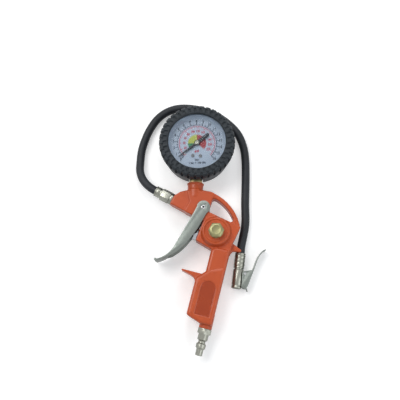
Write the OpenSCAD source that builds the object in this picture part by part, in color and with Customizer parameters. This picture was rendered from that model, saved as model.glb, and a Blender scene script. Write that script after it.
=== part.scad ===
// Tyre inflator gun with a dial gauge, a short hose and a clip-on tyre chuck.
// It lies on its back: +Z points up from the rest plane, +Y towards the gauge,
// +X towards the hanging loop. All sizes are in millimetres.
// Inside the part, positions in the plane are measured from the valve boss centre.

/* [Casting] */
// Height of the round valve boss, back face to front face
boss_t = 26; // [24:0.5:30]
// Radius of the round valve boss at its front edge
boss_r = 13.4; // [13:0.2:13.8]
// Radius of the sunk seat in the boss front
seat_r = 11.4; // [10:0.2:12]
// Depth of the sunk seat
seat_depth = 0.8; // [0.6:0.1:1.6]
// Thickness of the chest and pivot cheek
chest_t = 16; // [15:0.5:16]
// Thickness of the head web and hanging loop
loop_t = 13; // [10:0.5:15]
// Width of the hanging loop band
loop_band = 4.4; // [3:0.2:6]
// Outer radius of the hanging loop
loop_r = 45.9; // [44:0.2:47]
// Radius of the corners of the loop window
window_fillet = 2.6; // [1:0.2:3.4]
// Distance from the boss centre to the loop window's straight edge
window_low = 15.2; // [14.6:0.2:17]
// Rounding of the chest and web edges
edge_r = 1.4; // [0.6:0.2:2]
// Lean of the chest face and of the valve axis
valve_lean = 21; // [19:0.5:23]
// Boss centre to chest face, along the valve axis
valve_back = 15.6; // [15:0.2:17]
// Boss centre to valve axis, square to it
valve_drop = 8.2; // [7.6:0.2:8.8]
// Valve axis to the lower corner of the chest face
chest_low = 6.3; // [6:0.1:8]

/* [Handle] */
// Lean of the handle axis from the Y direction
handle_lean = 14.5; // [12:0.5:17]
// Thickness of the grip
grip_t = 21.5; // [18:0.5:24]
// Thickness of the neck
neck_t = 20; // [16:0.5:21]
// Thickness of the finger guard
guard_t = 16; // [10:0.5:18]
// Rear face of the handle, from the boss centre
handle_rear = 18.2; // [17.6:0.2:20]
// Front face of the neck, from the boss centre
neck_front = -0.3; // [-2:0.1:1]
// Front face of the grip, from the boss centre
grip_front = -8; // [-11:0.2:-6]
// Top edge of the finger guard below the boss centre
guard_y = 42.3; // [38:0.2:46]
// Reach of the finger guard in front of the boss centre
guard_reach = 22.9; // [18:0.2:26]
// Depth of the finger guard half way to its tip
guard_tip = 3.4; // [2.6:0.2:4.4]
// Lower end of the grip below the boss centre
grip_end = 87.1; // [80:0.5:95]
// Rounding of the grip edges
grip_round = 3; // [1.5:0.25:4]
// Depth of the sunk panel on the grip
panel_depth = 0.6; // [0.2:0.1:1]
// Width of the sunk panel
panel_w = 14.6; // [10:0.2:16]
// Length of the sunk panel
panel_l = 33; // [20:1:35]
// Thickness of the spur behind the chest
spur_t = 6; // [4:0.5:6.4]
// Reach of the spur behind the boss centre
spur_reach = 28.4; // [25:0.2:29]
// Radius of the inlet boss at the handle's lower end
inlet_boss_r = 6.2; // [5.8:0.1:7]
// Length of the inlet boss below the grip
inlet_boss_l = 3.4; // [1:0.2:8]
// Inlet axis behind the boss centre
inlet_x = 12.4; // [11.6:0.1:12.4]

/* [Barrel and gauge neck] */
// Direction in which the hose barrel points
barrel_dir = 152; // [149:0.5:155]
// Radius of the hose barrel
barrel_r = 6.2; // [5.8:0.1:7]
// Radius of the gauge neck
neck_r = 8.5; // [7.6:0.1:9.5]
// Clockwise lean of the gauge and its neck
gauge_lean = 2.2; // [0:0.1:4]
// Gap between the rubber boot and the top of the gauge neck
stem_gap = 1; // [0.8:0.1:5]

/* [Air ways] */
// Radius of the cross drillings
drill_r = 1.7; // [1:0.1:2]
// Radius of the inlet drilling up the handle
inlet_drill_r = 3.3; // [2:0.1:3.6]
// Radius of the valve bore
valve_bore_r = 5.2; // [5:0.1:5.4]
// Depth of the valve bore from the chest face
valve_bore_l = 29; // [28:0.5:31]
// Radius of the threads of the inlet and hose fittings
port_r = 4.4; // [4:0.1:4.6]
// Depth of those threads
port_l = 9; // [6:0.5:11]
// Radius of the gauge thread
gauge_port_r = 4.9; // [4:0.1:5.4]
// Depth of the gauge thread
gauge_port_l = 10; // [6:0.5:12]

/* [Valve] */
// Width across flats of the bush nut
bush_af = 11; // [10.8:0.1:12]
// Height of the bush nut
bush_h = 4; // [2:0.2:5]
// Length of the bush thread
bush_thread = 7; // [5:0.5:8]
// Radius of the valve stem
stem_r = 1.6; // [1.2:0.1:2]
// Radius of the hole through the valve seat
seat_hole_r = 2.7; // [2.3:0.1:3]
// Chest face to the valve seat
seat_at = 12.6; // [12:0.2:14]
// Thickness of the valve seat
seat_t = 3; // [2:0.2:4]
// Radius of the valve head
head_r = 4.1; // [3.6:0.1:4.3]
// Thickness of the valve head
head_t = 2.6; // [1.5:0.1:3]
// Thickness of the rubber face
rubber_t = 1.2; // [0.8:0.1:1.6]
// Wire thickness of the return spring
spring_wire = 0.8; // [0.5:0.05:0.9]
// Turns of the return spring
spring_turns = 4; // [3:0.5:4.5]
// Across flats of the brass plug's hexagon
plug_af = 13.2; // [12:0.2:14.4]
// Height of the plug's hexagon
plug_hex_h = 5; // [3:0.2:7]
// Radius of the plug's flange
plug_flange_r = 7; // [6.8:0.1:9]
// Thickness of the plug's flange
plug_flange_t = 1.2; // [0.8:0.1:2]
// Radius of the plug's thread
plug_r = 5.8; // [5:0.1:6]
// Length of the plug's thread
plug_l = 3.4; // [2.4:0.2:3.8]

/* [Lever] */
// Lever pivot from the boss centre, X
pivot_x = -12; // [-12.6:0.1:-11.4]
// Lever pivot from the boss centre, Y
pivot_y = 24.3; // [23.8:0.1:25]
// Direction of the lever from its pivot at rest
lever_dir = -120; // [-121:0.5:-119]
// Radius of the lever's ears
ear_r = 6.5; // [5.5:0.1:6.8]
// Pivot to the outer face of the lever's web
web_y = 5.4; // [5.2:0.1:6]
// Thickness of the lever's sheet
sheet_t = 1.5; // [1:0.1:1.8]
// Width over the lever's cheeks
lever_w = 19.8; // [19.6:0.2:22]
// Depth of the cheeks behind the pivot line
cheek_back = 5.6; // [4.6:0.1:5.8]
// Start of the lever's web from the pivot
web_start = 16; // [15:0.5:20]
// Straight length of the lever before its curled end
lever_straight = 47; // [42:0.5:50]
// Radius of the curled end
curl_r = 26; // [20:0.5:32]
// Angle of the curled end
curl_a = 50; // [35:1:58]
// Radius of the pivot pin
pin_r = 2; // [1.6:0.1:2.2]
// Radius of the pivot pin's bore
pin_bore_r = 1.1; // [0.6:0.1:1.2]

/* [Inlet nipple] */
// Across corners of the nipple's hexagon
nipple_hex = 14.6; // [13:0.1:16]
// Height of the nipple's hexagon
nipple_hex_h = 5; // [4:0.2:7]
// Radius of the shank below the hexagon
nipple_shank_r = 4.9; // [4:0.1:5.2]
// Length of the shank
nipple_shank_l = 6; // [4:0.2:7]
// Radius of the neck groove and of the tip
nipple_tip_r = 3.4; // [3:0.1:3.8]
// Radius of the bead
nipple_bead_r = 4.65; // [4.2:0.05:5]
// Length of the neck groove
nipple_neck_l = 3.2; // [2:0.2:5]
// Length of the bead
nipple_bead_l = 4.2; // [2:0.2:5]
// Length of the tip beyond the bead
nipple_tip_l = 6.6; // [4:0.2:8]
// Radius of the bore
nipple_bore_r = 2.1; // [1.5:0.1:2.6]

/* [Hose and fittings] */
// Outer diameter of the hose
hose_d = 8.5; // [7.5:0.1:8.8]
// Diameter of the crimped ferrules
ferrule_d = 10.6; // [10:0.1:10.8]
// Visible length of the ferrule at the casting
ferrule_gun_l = 6.8; // [5:0.2:10]
// Across flats of the hose fitting's hexagon
fitting_af = 11; // [10.6:0.1:12]
// Length of the hose fitting's hexagon
fitting_hex_l = 9.2; // [6:0.2:12]
// Radius of the fitting's collar
fitting_collar_r = 5.9; // [5.6:0.1:6.5]
// Length of the collar
fitting_collar_l = 3.2; // [2:0.2:5]
// Radius of the hose tails inside the ferrules
tail_r = 2.6; // [2.2:0.1:3]
// Radius of the bores of the hose tails
tail_bore_r = 1.5; // [1:0.1:1.8]

/* [Chuck] */
// Lean of the chuck's axis from the Y direction
chuck_lean = 7.6; // [5:0.2:10]
// Length of the chuck's ferrule
ferrule_chuck_l = 14.4; // [11:0.2:14.6]
// Length of the neck between ferrule and body
chuck_neck_l = 1.5; // [1:0.1:2.2]
// Diameter of the chuck body
chuck_d = 10.6; // [10.4:0.1:11]
// Hose face of the ferrule to the chuck's mouth
chuck_l = 34.6; // [34:0.2:38]
// Radius of the bore that takes the tyre valve
mouth_r = 4.1; // [4:0.05:4.3]
// Depth of that bore
mouth_l = 10.2; // [8:0.2:10.6]
// Thickness of the rubber seal
seal_t = 2.6; // [2:0.1:3]
// Clip pin from the chuck's axis
clip_pin_x = 6.4; // [6.2:0.1:7]
// Clip pin from the ferrule's hose face
clip_pin_y = 19.6; // [19:0.1:20.4]
// Radius of the clip pin
clip_pin_r = 1.2; // [0.9:0.05:1.3]
// Width over the clip's cheeks
clip_w = 10.4; // [10.2:0.1:10.4]
// Thickness of the clip's sheet
clip_t = 0.9; // [0.7:0.1:0.9]
// Radius of the clip's cheek round the pin
clip_ear_r = 2.7; // [2.2:0.1:2.8]

/* [Gauge] */
// Wall of the rubber boot round the case
boot_wall = 6.5; // [5.5:0.1:7.8]
// Narrowing of the boot's wall towards its back
boot_draft = 3.6; // [0:0.2:4]
// Rise of the boot's front over the bezel
boot_rise = 1.8; // [1.8:0.1:4]
// Width of the notch in the boot for the brass socket
boot_notch = 14.6; // [14:0.2:16]
// Width of the boot's lip over the front of the case
boot_lip = 3.2; // [1.6:0.1:4]
// Thickness of the boot's back
boot_back = 2.2; // [1.2:0.1:2.2]
// Number of tread blocks round the boot
treads = 36; // [24:1:40]
// Width of the gaps between tread blocks
tread_gap = 2.2; // [1:0.1:2.4]
// Depth of the tread on the boot's front
tread_depth = 1.8; // [0.6:0.1:2]
// Height of the outer row's gaps down the boot's side
tread_side = 9; // [4:0.5:14]
// Diameter of the gauge case
case_d = 63; // [62:0.2:63.4]
// Wall of the gauge case
case_wall = 0.9; // [0.6:0.1:1.2]
// Back of the case to the stem axis
stem_back = 10.8; // [9:0.1:11.8]
// Depth of the case
case_depth = 27.4; // [27:0.1:28]
// Thickness of the window
window_t = 1.8; // [1.2:0.1:2]
// Thickness of the bezel ring over the window
bezel_t = 1.4; // [0.8:0.1:1.6]
// Height of the bezel's skirt
bezel_skirt = 4.4; // [3:0.2:6]
// Side of the case to the screws in its back
case_screw_in = 10.9; // [10:0.1:11.4]
// Gap between the dial and the case's wall
dial_gap = 1; // [0.6:0.1:2]
// Thickness of the dial
dial_t = 0.8; // [0.5:0.1:1]
// Across flats of the socket's hexagon
socket_af = 11; // [10:0.1:11.4]
// Width of the socket block
block_w = 14; // [13:0.2:15]
// Thickness of the socket block
block_t = 9.6; // [8:0.2:10]
// Dial centre to the top of the socket block
block_top = 17.6; // [17.2:0.1:19]
// Mean radius of the Bourdon tube
tube_r = 23; // [22:0.2:24]
// Width of the Bourdon tube across the dial's plane
tube_w = 9; // [7:0.2:9.4]
// Thickness of the Bourdon tube
tube_t = 3.2; // [2.4:0.1:3.6]
// Thickness of the Bourdon tube's wall
tube_wall = 0.5; // [0.3:0.05:0.6]
// Start and end angle of the Bourdon tube
tube_a = [5, 255]; // [0:1:260]

/* [Movement] */
// Thickness of the movement plates
plate_t = 0.9; // [0.7:0.1:1]
// Gap between the movement plates
plate_gap = 3.6; // [3.4:0.1:3.8]
// Teeth of the pinion
pinion_teeth = 10; // [10:1:10]
// Teeth of a full circle of the sector's pitch
sector_teeth = 100; // [100:1:100]
// Tooth module
tooth_mod = 0.3; // [0.3:0.01:0.3]
// Thickness of the sector
sector_t = 0.8; // [0.6:0.1:0.9]
// Radius of the arbor
arbor_r = 0.75; // [0.6:0.05:0.85]
// Arm of the sector's tail
tail_arm = 8; // [7:0.1:8.4]
// Angle that the sector turns over the scale
sector_sweep = 26.6; // [20:0.1:27]
// Angle at which the pointer rests, from +X
pointer_rest = 221; // [215:1:226]
// Pointer length from centre to tip
pointer_l = 23.6; // [20:0.2:26]
// Pointer tail length
pointer_tail = 13.4; // [8:0.2:15]
// Width of the pointer's tail
pointer_w = 3.6; // [2:0.1:4.4]
// Thickness of the pointer
pointer_t = 0.5; // [0.3:0.1:0.7]
// Radius of the pointer's hub
hub_r = 2.2; // [1.8:0.1:3]

/* [Hidden] */
$fn = 48;
fit = 0.02;          // press seats: pin in casting, inserts in bores
run = 0.08;          // running fits: pins and stems in their holes
rubber_gap = 0.1;    // rubber and trim round a metal part

// sizes that follow the gauge's case
boot_d = case_d + 2*boot_wall;
boot_open_r = case_d/2 - boot_lip;
dial_r = case_d/2 - case_wall - dial_gap;
stem_len = boot_d/2 + stem_gap;

// heights above the rest plane
mid = max(boss_t/2, boot_back + stem_back);
case_back = mid - stem_back;
window_z = case_back + case_depth;
boot_h = window_z + window_t + bezel_t + boot_rise;
block_top_z = mid + block_t/2;
plate1_z = block_top_z;
plate2_z = plate1_z + plate_t + plate_gap;
sector_z = plate1_z + plate_t + 0.9;
link_z = sector_z + sector_t + 0.15;
dial_z = window_z - 4.6;
pointer_z = dial_z + dial_t + 1.3;
seat_z = mid + boss_t/2 - seat_depth;

function turn(v, a) = [v[0]*cos(a) - v[1]*sin(a), v[0]*sin(a) + v[1]*cos(a)];
// where the line p + t*u meets the line q + s*v
function meet(p, u, q, v) =
    let (d = u[0]*v[1] - u[1]*v[0], w = q - p) p + u*((w[0]*v[1] - w[1]*v[0])/d);

// local frames, all measured from the boss centre
valve_dir = [cos(valve_lean), -sin(valve_lean)];
valve_side = [sin(valve_lean), cos(valve_lean)];
chest_face = -valve_back*valve_dir - valve_drop*valve_side;
loop_c = [-21.5, -2];
pivot = [pivot_x, pivot_y];
barrel_face = [-42.6, 34];
barrel_out = [cos(barrel_dir), sin(barrel_dir)];
barrel_down = [-sin(barrel_dir), cos(barrel_dir)];
gauge_seat = [-19.8, 50.2];
gauge_up = [sin(gauge_lean), cos(gauge_lean)];
dial_c = gauge_seat + stem_len*gauge_up;
gallery_c = meet(barrel_face, barrel_out, dial_c, gauge_up);
window_lean = 26;
chuck_face = [24.6, -19];
chuck_z = max(ferrule_d, chuck_d, clip_w + 0.1)/2;
fitting_l = fitting_collar_l + fitting_hex_l;
gun_hose_end = barrel_face + barrel_out*(fitting_l + ferrule_gun_l);

function vv(s, l) = chest_face + valve_dir*s + valve_side*l;
function hv(x, y) = turn([x, y], -handle_lean);
function bv(x, y) = barrel_face + barrel_out*x + barrel_down*y;
chest_in = meet(chest_face, valve_side, bv(0, barrel_r), barrel_out);

nipple_l = nipple_hex_h + nipple_shank_l + nipple_neck_l + nipple_bead_l + nipple_tip_l;
inlet_y = grip_end + inlet_boss_l;

// the row frame: middle of the part's outline without the hose and chuck
ferrule_corner = gun_hose_end[0] - ferrule_d/2*abs(barrel_down[0]);
spur_tip = hv(spur_reach - 1.4, -11.4)[0] + 1.4;
nipple_tip_y = hv(inlet_x - nipple_tip_r + 0.5, -inlet_y - nipple_l)[1];
frame_x = (ferrule_corner + spur_tip)/2;
frame_y = (dial_c[1] + boot_d/2 + nipple_tip_y)/2;

/* ---- shared shapes ---- */

module in_row() translate([-frame_x, -frame_y, 0]) children();
module at_mid() in_row() translate([0, 0, mid]) children();
module at_handle() at_mid() rotate([0, 0, -handle_lean]) children();
module at_valve() at_mid() translate([chest_face[0], chest_face[1], 0])
    rotate([0, 0, -valve_lean]) rotate([0, 90, 0]) children();
module at_barrel() at_mid() translate([barrel_face[0], barrel_face[1], 0])
    rotate([0, 0, barrel_dir]) rotate([0, 90, 0]) children();
module at_inlet() at_handle() translate([inlet_x, -inlet_y, 0]) rotate([90, 0, 0]) children();
module at_lever() at_mid() translate([pivot_x, pivot_y, 0])
    rotate([0, 0, lever_dir]) mirror([0, 1, 0]) children();
module at_gauge() in_row() translate([dial_c[0], dial_c[1], 0])
    rotate([0, 0, -gauge_lean]) children();
module at_stem() at_gauge() translate([0, -stem_len, mid]) rotate([-90, 0, 0]) children();
module at_chuck() in_row() translate([chuck_face[0], chuck_face[1], chuck_z])
    rotate([0, 0, -chuck_lean]) children();
module along_chuck() at_chuck() rotate([90, 0, 0]) children();

module ring(ro, ri, h) difference() {
    cylinder(r = ro, h = h);
    translate([0, 0, -1]) cylinder(r = ri, h = h + 2);
}
// hexagon measured across its flats
module hexagon(af, h) cylinder(r = af/2/cos(30), h = h, $fn = 6);
// drilling between two points, along +Z of the first
module drill(a, b, r) {
    d = b - a;
    l = norm(d);
    translate(a) rotate([0, acos(d[2]/l), atan2(d[1], d[0])]) cylinder(r = r, h = l, $fn = 24);
}
module screw(r, l, head_r, head_h) difference() {
    union() {
        translate([0, 0, -l]) cylinder(r = r, h = l + 0.01, $fn = 20);
        cylinder(r = head_r, h = head_h, $fn = 28);
    }
    translate([-head_r - 1, -0.25, head_h - 0.35]) cube([2*head_r + 2, 0.5, 1]);
}
// slab with edges rounded by r, its middle plane at z = 0
module soft_slab(t, r) minkowski() {
    linear_extrude(t - 2*r, center = true, convexity = 6) offset(delta = -r) children();
    rotate_extrude($fn = 12) polygon([[0, -r], [0.5*r, -0.87*r], [0.87*r, -0.5*r], [r, 0],
        [0.87*r, 0.5*r], [0.5*r, 0.87*r], [0, r]]);
}
// band of thickness t beside a line of points, on its left
function normal_at(p, i) = let (
    a = p[max(i - 1, 0)], b = p[min(i + 1, len(p) - 1)], d = (b - a)/norm(b - a)) [-d[1], d[0]];
module band(p, t) polygon(concat(p,
    [for (i = [len(p) - 1 : -1 : 0]) p[i] + t*normal_at(p, i)]));
// round tube swept along points, with flat ends
module sweep(p, r, n) {
    m = len(p);
    tan = [for (i = [0 : m - 1]) let (d = p[min(i + 1, m - 1)] - p[max(i - 1, 0)]) d/norm(d)];
    side = [for (i = [0 : m - 1]) let (s = cross(tan[i], [0, 0, 1])) s/norm(s)];
    up = [for (i = [0 : m - 1]) cross(side[i], tan[i])];
    pts = [for (i = [0 : m - 1]) for (j = [0 : n - 1]) let (a = 360*(j + 0.5)/n)
        p[i] + r*(cos(a)*side[i] + sin(a)*up[i])];
    faces = concat(
        [for (j = [1 : n - 2]) [0, j, j + 1]],
        [for (j = [1 : n - 2]) [(m - 1)*n, (m - 1)*n + j + 1, (m - 1)*n + j]],
        [for (i = [0 : m - 2]) for (j = [0 : n - 1]) let (k = (j + 1) % n)
            [i*n + j, (i + 1)*n + k, i*n + k]],
        [for (i = [0 : m - 2]) for (j = [0 : n - 1]) let (k = (j + 1) % n)
            [i*n + j, (i + 1)*n + j, (i + 1)*n + k]]);
    polyhedron(points = pts, faces = faces, convexity = 8);
}
// smooth curve through points
function spline(p, n) = [for (i = [0 : len(p) - 2]) for (k = [0 : n - 1]) let (
    t = k/n, a = p[max(i - 1, 0)], b = p[i], c = p[i + 1], d = p[min(i + 2, len(p) - 1)])
    0.5*(2*b + (c - a)*t + (2*a - 5*b + 4*c - d)*t*t + (3*b - a - 3*c + d)*t*t*t),
    p[len(p) - 1]];

/* ---- casting ---- */

// window between the hanging loop and the chest
module window_2d() offset(r = window_fillet) offset(delta = -window_fillet) difference() {
    translate(loop_c) circle(r = loop_r - loop_band, $fn = 90);
    rotate(-window_lean) translate([-80, window_low - 80]) square([160, 80]);
    translate(pivot + [6.4, 0.8]) rotate(70) translate([-60, 0]) square([120, 80]);
}
// chest, pivot cheek and the rear of the head
module core_2d() intersection() {
    chest_full_2d();
    union() {
        rotate(-window_lean) translate([-80, window_low - 80]) square([160, 80]);
        translate(pivot + [6.4, 0.8]) rotate(70) translate([-60, 0]) square([120, 80]);
    }
}
module chest_full_2d() polygon(concat([vv(0, -chest_low), chest_in, bv(-16, barrel_r),
    bv(-16, -5), gauge_seat + turn([-neck_r, -8], -gauge_lean),
    gauge_seat + turn([neck_r, -8], -gauge_lean)],
    [for (a = [68 : -6 : 8]) loop_c + loop_r*[cos(a), sin(a)]],
    [[23.2, 2.5], hv(handle_rear + 1.6, -2), hv(handle_rear, -8), hv(handle_rear, -30),
    hv(neck_front, -30), hv(neck_front, -17.5)]));
// thin web: head bulge over the barrel, and the hanging loop
module web_2d() difference() {
    polygon(concat([bv(0, barrel_r - 0.4), chest_in, vv(10, 14), [8, 2], [20, -2],
        [23.2, 2.5]],
        [for (a = [8 : 6 : 68]) loop_c + loop_r*[cos(a), sin(a)]],
        [gauge_seat + turn([neck_r, -8], -gauge_lean),
        gauge_seat + turn([-neck_r, -8], -gauge_lean), [-35.3, 40.9], bv(0, -barrel_r + 3)]));
    window_2d();
}
module neck_2d() rotate(-handle_lean) polygon([[neck_front + 4, -14], [neck_front, -17.5],
    [neck_front, -guard_y + 2], [grip_front, -guard_y - 6], [grip_front, -grip_end + 20],
    [handle_rear, -grip_end + 20], [handle_rear, -14]]);
module guard_2d() rotate(-handle_lean) polygon([[neck_front + 5, -guard_y],
    [-guard_reach, -guard_y], [-guard_reach - 0.3, -guard_y - 1.2],
    [grip_front - 6, -guard_y - guard_tip], [grip_front - 2.5, -guard_y - guard_tip - 1.2],
    [grip_front - 0.8, -guard_y - guard_tip - 2.7], [grip_front, -guard_y - guard_tip - 5.2],
    [grip_front + 6, -guard_y - guard_tip - 5.2]]);
module grip_2d() rotate(-handle_lean) polygon([
    [neck_front + 2, -guard_y + 5], [grip_front, -guard_y - 5], [grip_front, -grip_end + 4.6],
    [inlet_x - inlet_boss_r, -grip_end], [handle_rear, -grip_end], [handle_rear, -guard_y + 12]]);
module spur_2d() rotate(-handle_lean) union() {
    hull() {
        translate([spur_reach - 1.4, -11.2]) circle(r = 1.4, $fn = 24);
        polygon([[handle_rear - 4, -4], [handle_rear - 4, -14.6], [handle_rear + 3.4, -12.9],
            [handle_rear + 3.4, -7.2]]);
    }
    // concave corner under the spur
    polygon([[handle_rear - 4, -12], [handle_rear + 4.4, -12.2], [handle_rear + 3.2, -13.2],
        [handle_rear + 1.8, -14.6], [handle_rear + 0.9, -16.4], [handle_rear + 0.5, -18.6],
        [handle_rear - 4, -20]]);
}
module casting() color("#d9531e") difference() {
    union() {
        at_mid() soft_slab(chest_t, edge_r) core_2d();
        at_mid() soft_slab(loop_t, edge_r) web_2d();
        at_mid() soft_slab(neck_t, grip_round) neck_2d();
        at_mid() soft_slab(guard_t, 0.5) guard_2d();
        at_mid() soft_slab(grip_t, grip_round) grip_2d();
        at_mid() soft_slab(spur_t, 1.2) spur_2d();
        // valve boss, its sides drafted down to the chest and cut back beside the lever
        at_mid() intersection() {
            rotate_extrude($fn = 72) polygon([[0, -boss_t/2], [boss_r - 0.8, -boss_t/2],
                [boss_r, 0.8 - boss_t/2], [boss_r + 1.7, -chest_t/2], [boss_r, 2 - chest_t/2],
                [boss_r, chest_t/2 - 2], [boss_r + 1.7, chest_t/2], [boss_r, boss_t/2 - 0.8],
                [boss_r - 0.8, boss_t/2], [0, boss_t/2]]);
            rotate(-22) translate([-boss_r - 0.1, -30, -30]) cube(60);
        }
        // hose barrel, gauge neck and inlet boss
        at_barrel() translate([0, 0, -34]) cylinder(r = barrel_r, h = 34);
        at_stem() rotate_extrude() polygon([[0, -16], [neck_r - 1, -16], [neck_r, -14],
            [neck_r, -6.8], [neck_r - 0.7, -6.2], [neck_r - 0.7, -1.8], [neck_r, -1.2],
            [neck_r, 0], [0, 0]]);
        at_inlet() translate([0, 0, -14]) cylinder(r = inlet_boss_r, h = 14);
    }
    // sunk seat of the brass plug and its chamber
    in_row() translate([0, 0, seat_z]) cylinder(r = seat_r, h = boss_t);
    in_row() translate([0, 0, seat_z - plug_l - 1.6]) cylinder(r = plug_r + fit, h = boss_t);
    // valve bore
    at_valve() translate([0, 0, -8]) cylinder(r = valve_bore_r, h = 8 + valve_bore_l);
    // inlet thread and drilling
    at_inlet() translate([0, 0, -port_l]) cylinder(r = port_r + fit, h = port_l + 1);
    at_inlet() translate([0, 0, -inlet_y + 7]) cylinder(r = inlet_drill_r, h = inlet_y - 7);
    // hose thread and gallery
    at_barrel() translate([0, 0, -port_l]) cylinder(r = port_r + fit, h = port_l + 1);
    at_barrel() translate([0, 0, -47]) cylinder(r = drill_r, h = 47);
    // gauge thread and drilling down to the gallery
    at_stem() translate([0, 0, -gauge_port_l]) cylinder(r = gauge_port_r + fit,
        h = gauge_port_l + 1);
    at_stem() translate([0, 0, -norm(gauge_seat - gallery_c) - 0.5])
        cylinder(r = drill_r - 0.2, h = norm(gauge_seat - gallery_c));
    // drillings from the plug chamber to the valve outlet and to the gallery
    at_mid() drill([-3, -2, seat_z - mid - plug_l], [vv(10, 0)[0], vv(10, 0)[1], 0], drill_r);
    at_mid() drill([-2, 3, seat_z - mid - plug_l], [bv(-45, 0)[0], bv(-45, 0)[1], 0], drill_r);
    // pivot hole
    at_mid() translate([pivot_x, pivot_y, 0]) cylinder(r = pin_r + fit, h = 60, center = true);
    // sunk panel on the grip
    at_handle() translate([(grip_front + handle_rear)/2 + 1, -guard_y - 5, grip_t/2 - panel_depth])
        union() {
            translate([-panel_w/2, -panel_l, 0]) cube([panel_w, panel_l - panel_w/2, 5]);
            translate([0, -panel_w/2, 0]) cylinder(r = panel_w/2, h = 5);
        }
}

/* ---- lever ---- */

web_line = concat([[web_start, web_y], [lever_straight, web_y]],
    [for (a = [6 : 6 : curl_a - 1]) [lever_straight + curl_r*sin(a),
        web_y + curl_r*(1 - cos(a))]],
    [[lever_straight + curl_r*sin(curl_a), web_y + curl_r*(1 - cos(curl_a))]]);
web_n = len(web_line);
// cheek: round ear, straight back edge that closes on the web towards the curled end
module cheek_2d() {
    circle(r = ear_r);
    polygon(concat([[0, -cheek_back], [21, -cheek_back], [31, -4.6], [40, -3], [48, -0.6],
        [56, 3.4]],
        [for (i = [web_n - 3 : -1 : 1]) web_line[i]], [[web_start, web_y], [8, web_y + 0.2],
        [0, ear_r - 0.6]]));
}
module lever() color("#b9bcb8") difference() {
    at_lever() union() {
        for (s = [-1, 1]) translate([0, 0, s*(lever_w - sheet_t)/2])
            linear_extrude(sheet_t, center = true) cheek_2d();
        linear_extrude(lever_w, center = true) band(web_line, -sheet_t);
        // rolled lip at the end
        translate([web_line[web_n - 1][0], web_line[web_n - 1][1], 0])
            cylinder(r = sheet_t*0.8, h = lever_w, center = true);
    }
    at_mid() translate([pivot_x, pivot_y, 0]) cylinder(r = pin_r + run, h = 60, center = true);
}
module lever_pin() color("#8d9094") at_mid() translate([pivot_x, pivot_y, -lever_w/2])
    ring(pin_r, pin_bore_r, lever_w);

/* ---- valve ---- */

// stem length in front of the chest face, up to the lever's web
stem_out = let (n = [sin(lever_dir), -cos(lever_dir)],
    c = (chest_face - pivot)*n, k = valve_dir*n) (web_y - sheet_t - c)/k;
module valve_bush() color("#c9ccce") at_valve() difference() {
    union() {
        translate([0, 0, -bush_h]) hexagon(bush_af, bush_h);
        cylinder(r = valve_bore_r - fit, h = bush_thread);
    }
    translate([0, 0, -bush_h - 1]) cylinder(r = stem_r + run, h = bush_h + bush_thread + 2);
    translate([0, 0, bush_thread - 2]) cylinder(r = stem_r + 1.2, h = 3);
}
head_z = seat_at + seat_t + rubber_t;
module valve_stem() color("#d6d8da") at_valve() {
    translate([0, 0, stem_out + 0.7]) cylinder(r = stem_r, h = head_z - stem_out - 0.6);
    translate([0, 0, stem_out + 0.15]) cylinder(r1 = stem_r - 0.5, r2 = stem_r, h = 0.55, $fn = 24);
    translate([0, 0, head_z]) cylinder(r = head_r, h = head_t);
    translate([0, 0, head_z + head_t]) cylinder(r = stem_r*0.8, h = 3);
}
module valve_rubber() color("#1c1c1c") at_valve() translate([0, 0, head_z - rubber_t])
    ring(head_r - 0.1, stem_r + 0.02, rubber_t);
module valve_seat() color("#c8a45a") at_valve() translate([0, 0, seat_at])
    ring(valve_bore_r - fit, seat_hole_r, seat_t);
spring_l = valve_bore_l - head_z - head_t;
module valve_spring() color("#9a9da0") at_valve() translate([0, 0, head_z + head_t])
    sweep([for (i = [0 : 12*spring_turns]) let (a = 30*i,
        z = spring_wire/2 + (spring_l - spring_wire)*i/(12*spring_turns))
        [(head_r - spring_wire)*cos(a), (head_r - spring_wire)*sin(a), z]], spring_wire/2, 6);
module plug_washer() color("#b87333") in_row() translate([0, 0, seat_z])
    ring(plug_flange_r + 0.2, plug_r + 0.1, 0.8);
module brass_plug() color("#b99a4a") in_row() translate([0, 0, seat_z + 0.8]) {
    translate([0, 0, -plug_l - 0.8]) cylinder(r = plug_r, h = plug_l + 0.9);
    cylinder(r = plug_flange_r, h = plug_flange_t);
    translate([0, 0, plug_flange_t]) difference() {
        intersection() {
            hexagon(plug_af, plug_hex_h);
            cylinder(r1 = plug_af/2 - 1.6 + 1.73*plug_hex_h, r2 = plug_af/2 - 1.6, h = plug_hex_h);
        }
        translate([0, 0, plug_hex_h - 0.8]) cylinder(r = plug_af/2 - 2.6, h = 2);
    }
}

/* ---- inlet nipple ---- */

module inlet_nipple() color("#c7c9c6") at_inlet() difference() {
    a = nipple_hex_h;
    b = a + nipple_shank_l;
    c = b + nipple_neck_l;
    d = c + nipple_bead_l;
    union() {
        translate([0, 0, -port_l + 1]) cylinder(r = port_r, h = port_l);
        cylinder(r = nipple_hex/2*cos(30), h = 1);
        translate([0, 0, 0.8]) rotate([0, 0, 30]) cylinder(r = nipple_hex/2, h = a - 0.8, $fn = 6);
        rotate_extrude() polygon([[0, a - 0.1], [nipple_shank_r, a - 0.1], [nipple_shank_r, b - 0.6],
            [nipple_tip_r, b + 0.4], [nipple_tip_r, c - 0.9], [nipple_bead_r, c],
            [nipple_bead_r, d - 0.6], [nipple_tip_r, d + 0.6], [nipple_tip_r, nipple_l - 0.5],
            [nipple_tip_r - 0.5, nipple_l], [0, nipple_l]]);
    }
    translate([0, 0, -port_l - 1]) cylinder(r = nipple_bore_r, h = nipple_l + port_l + 2);
}

/* ---- hose fittings ---- */

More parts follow.
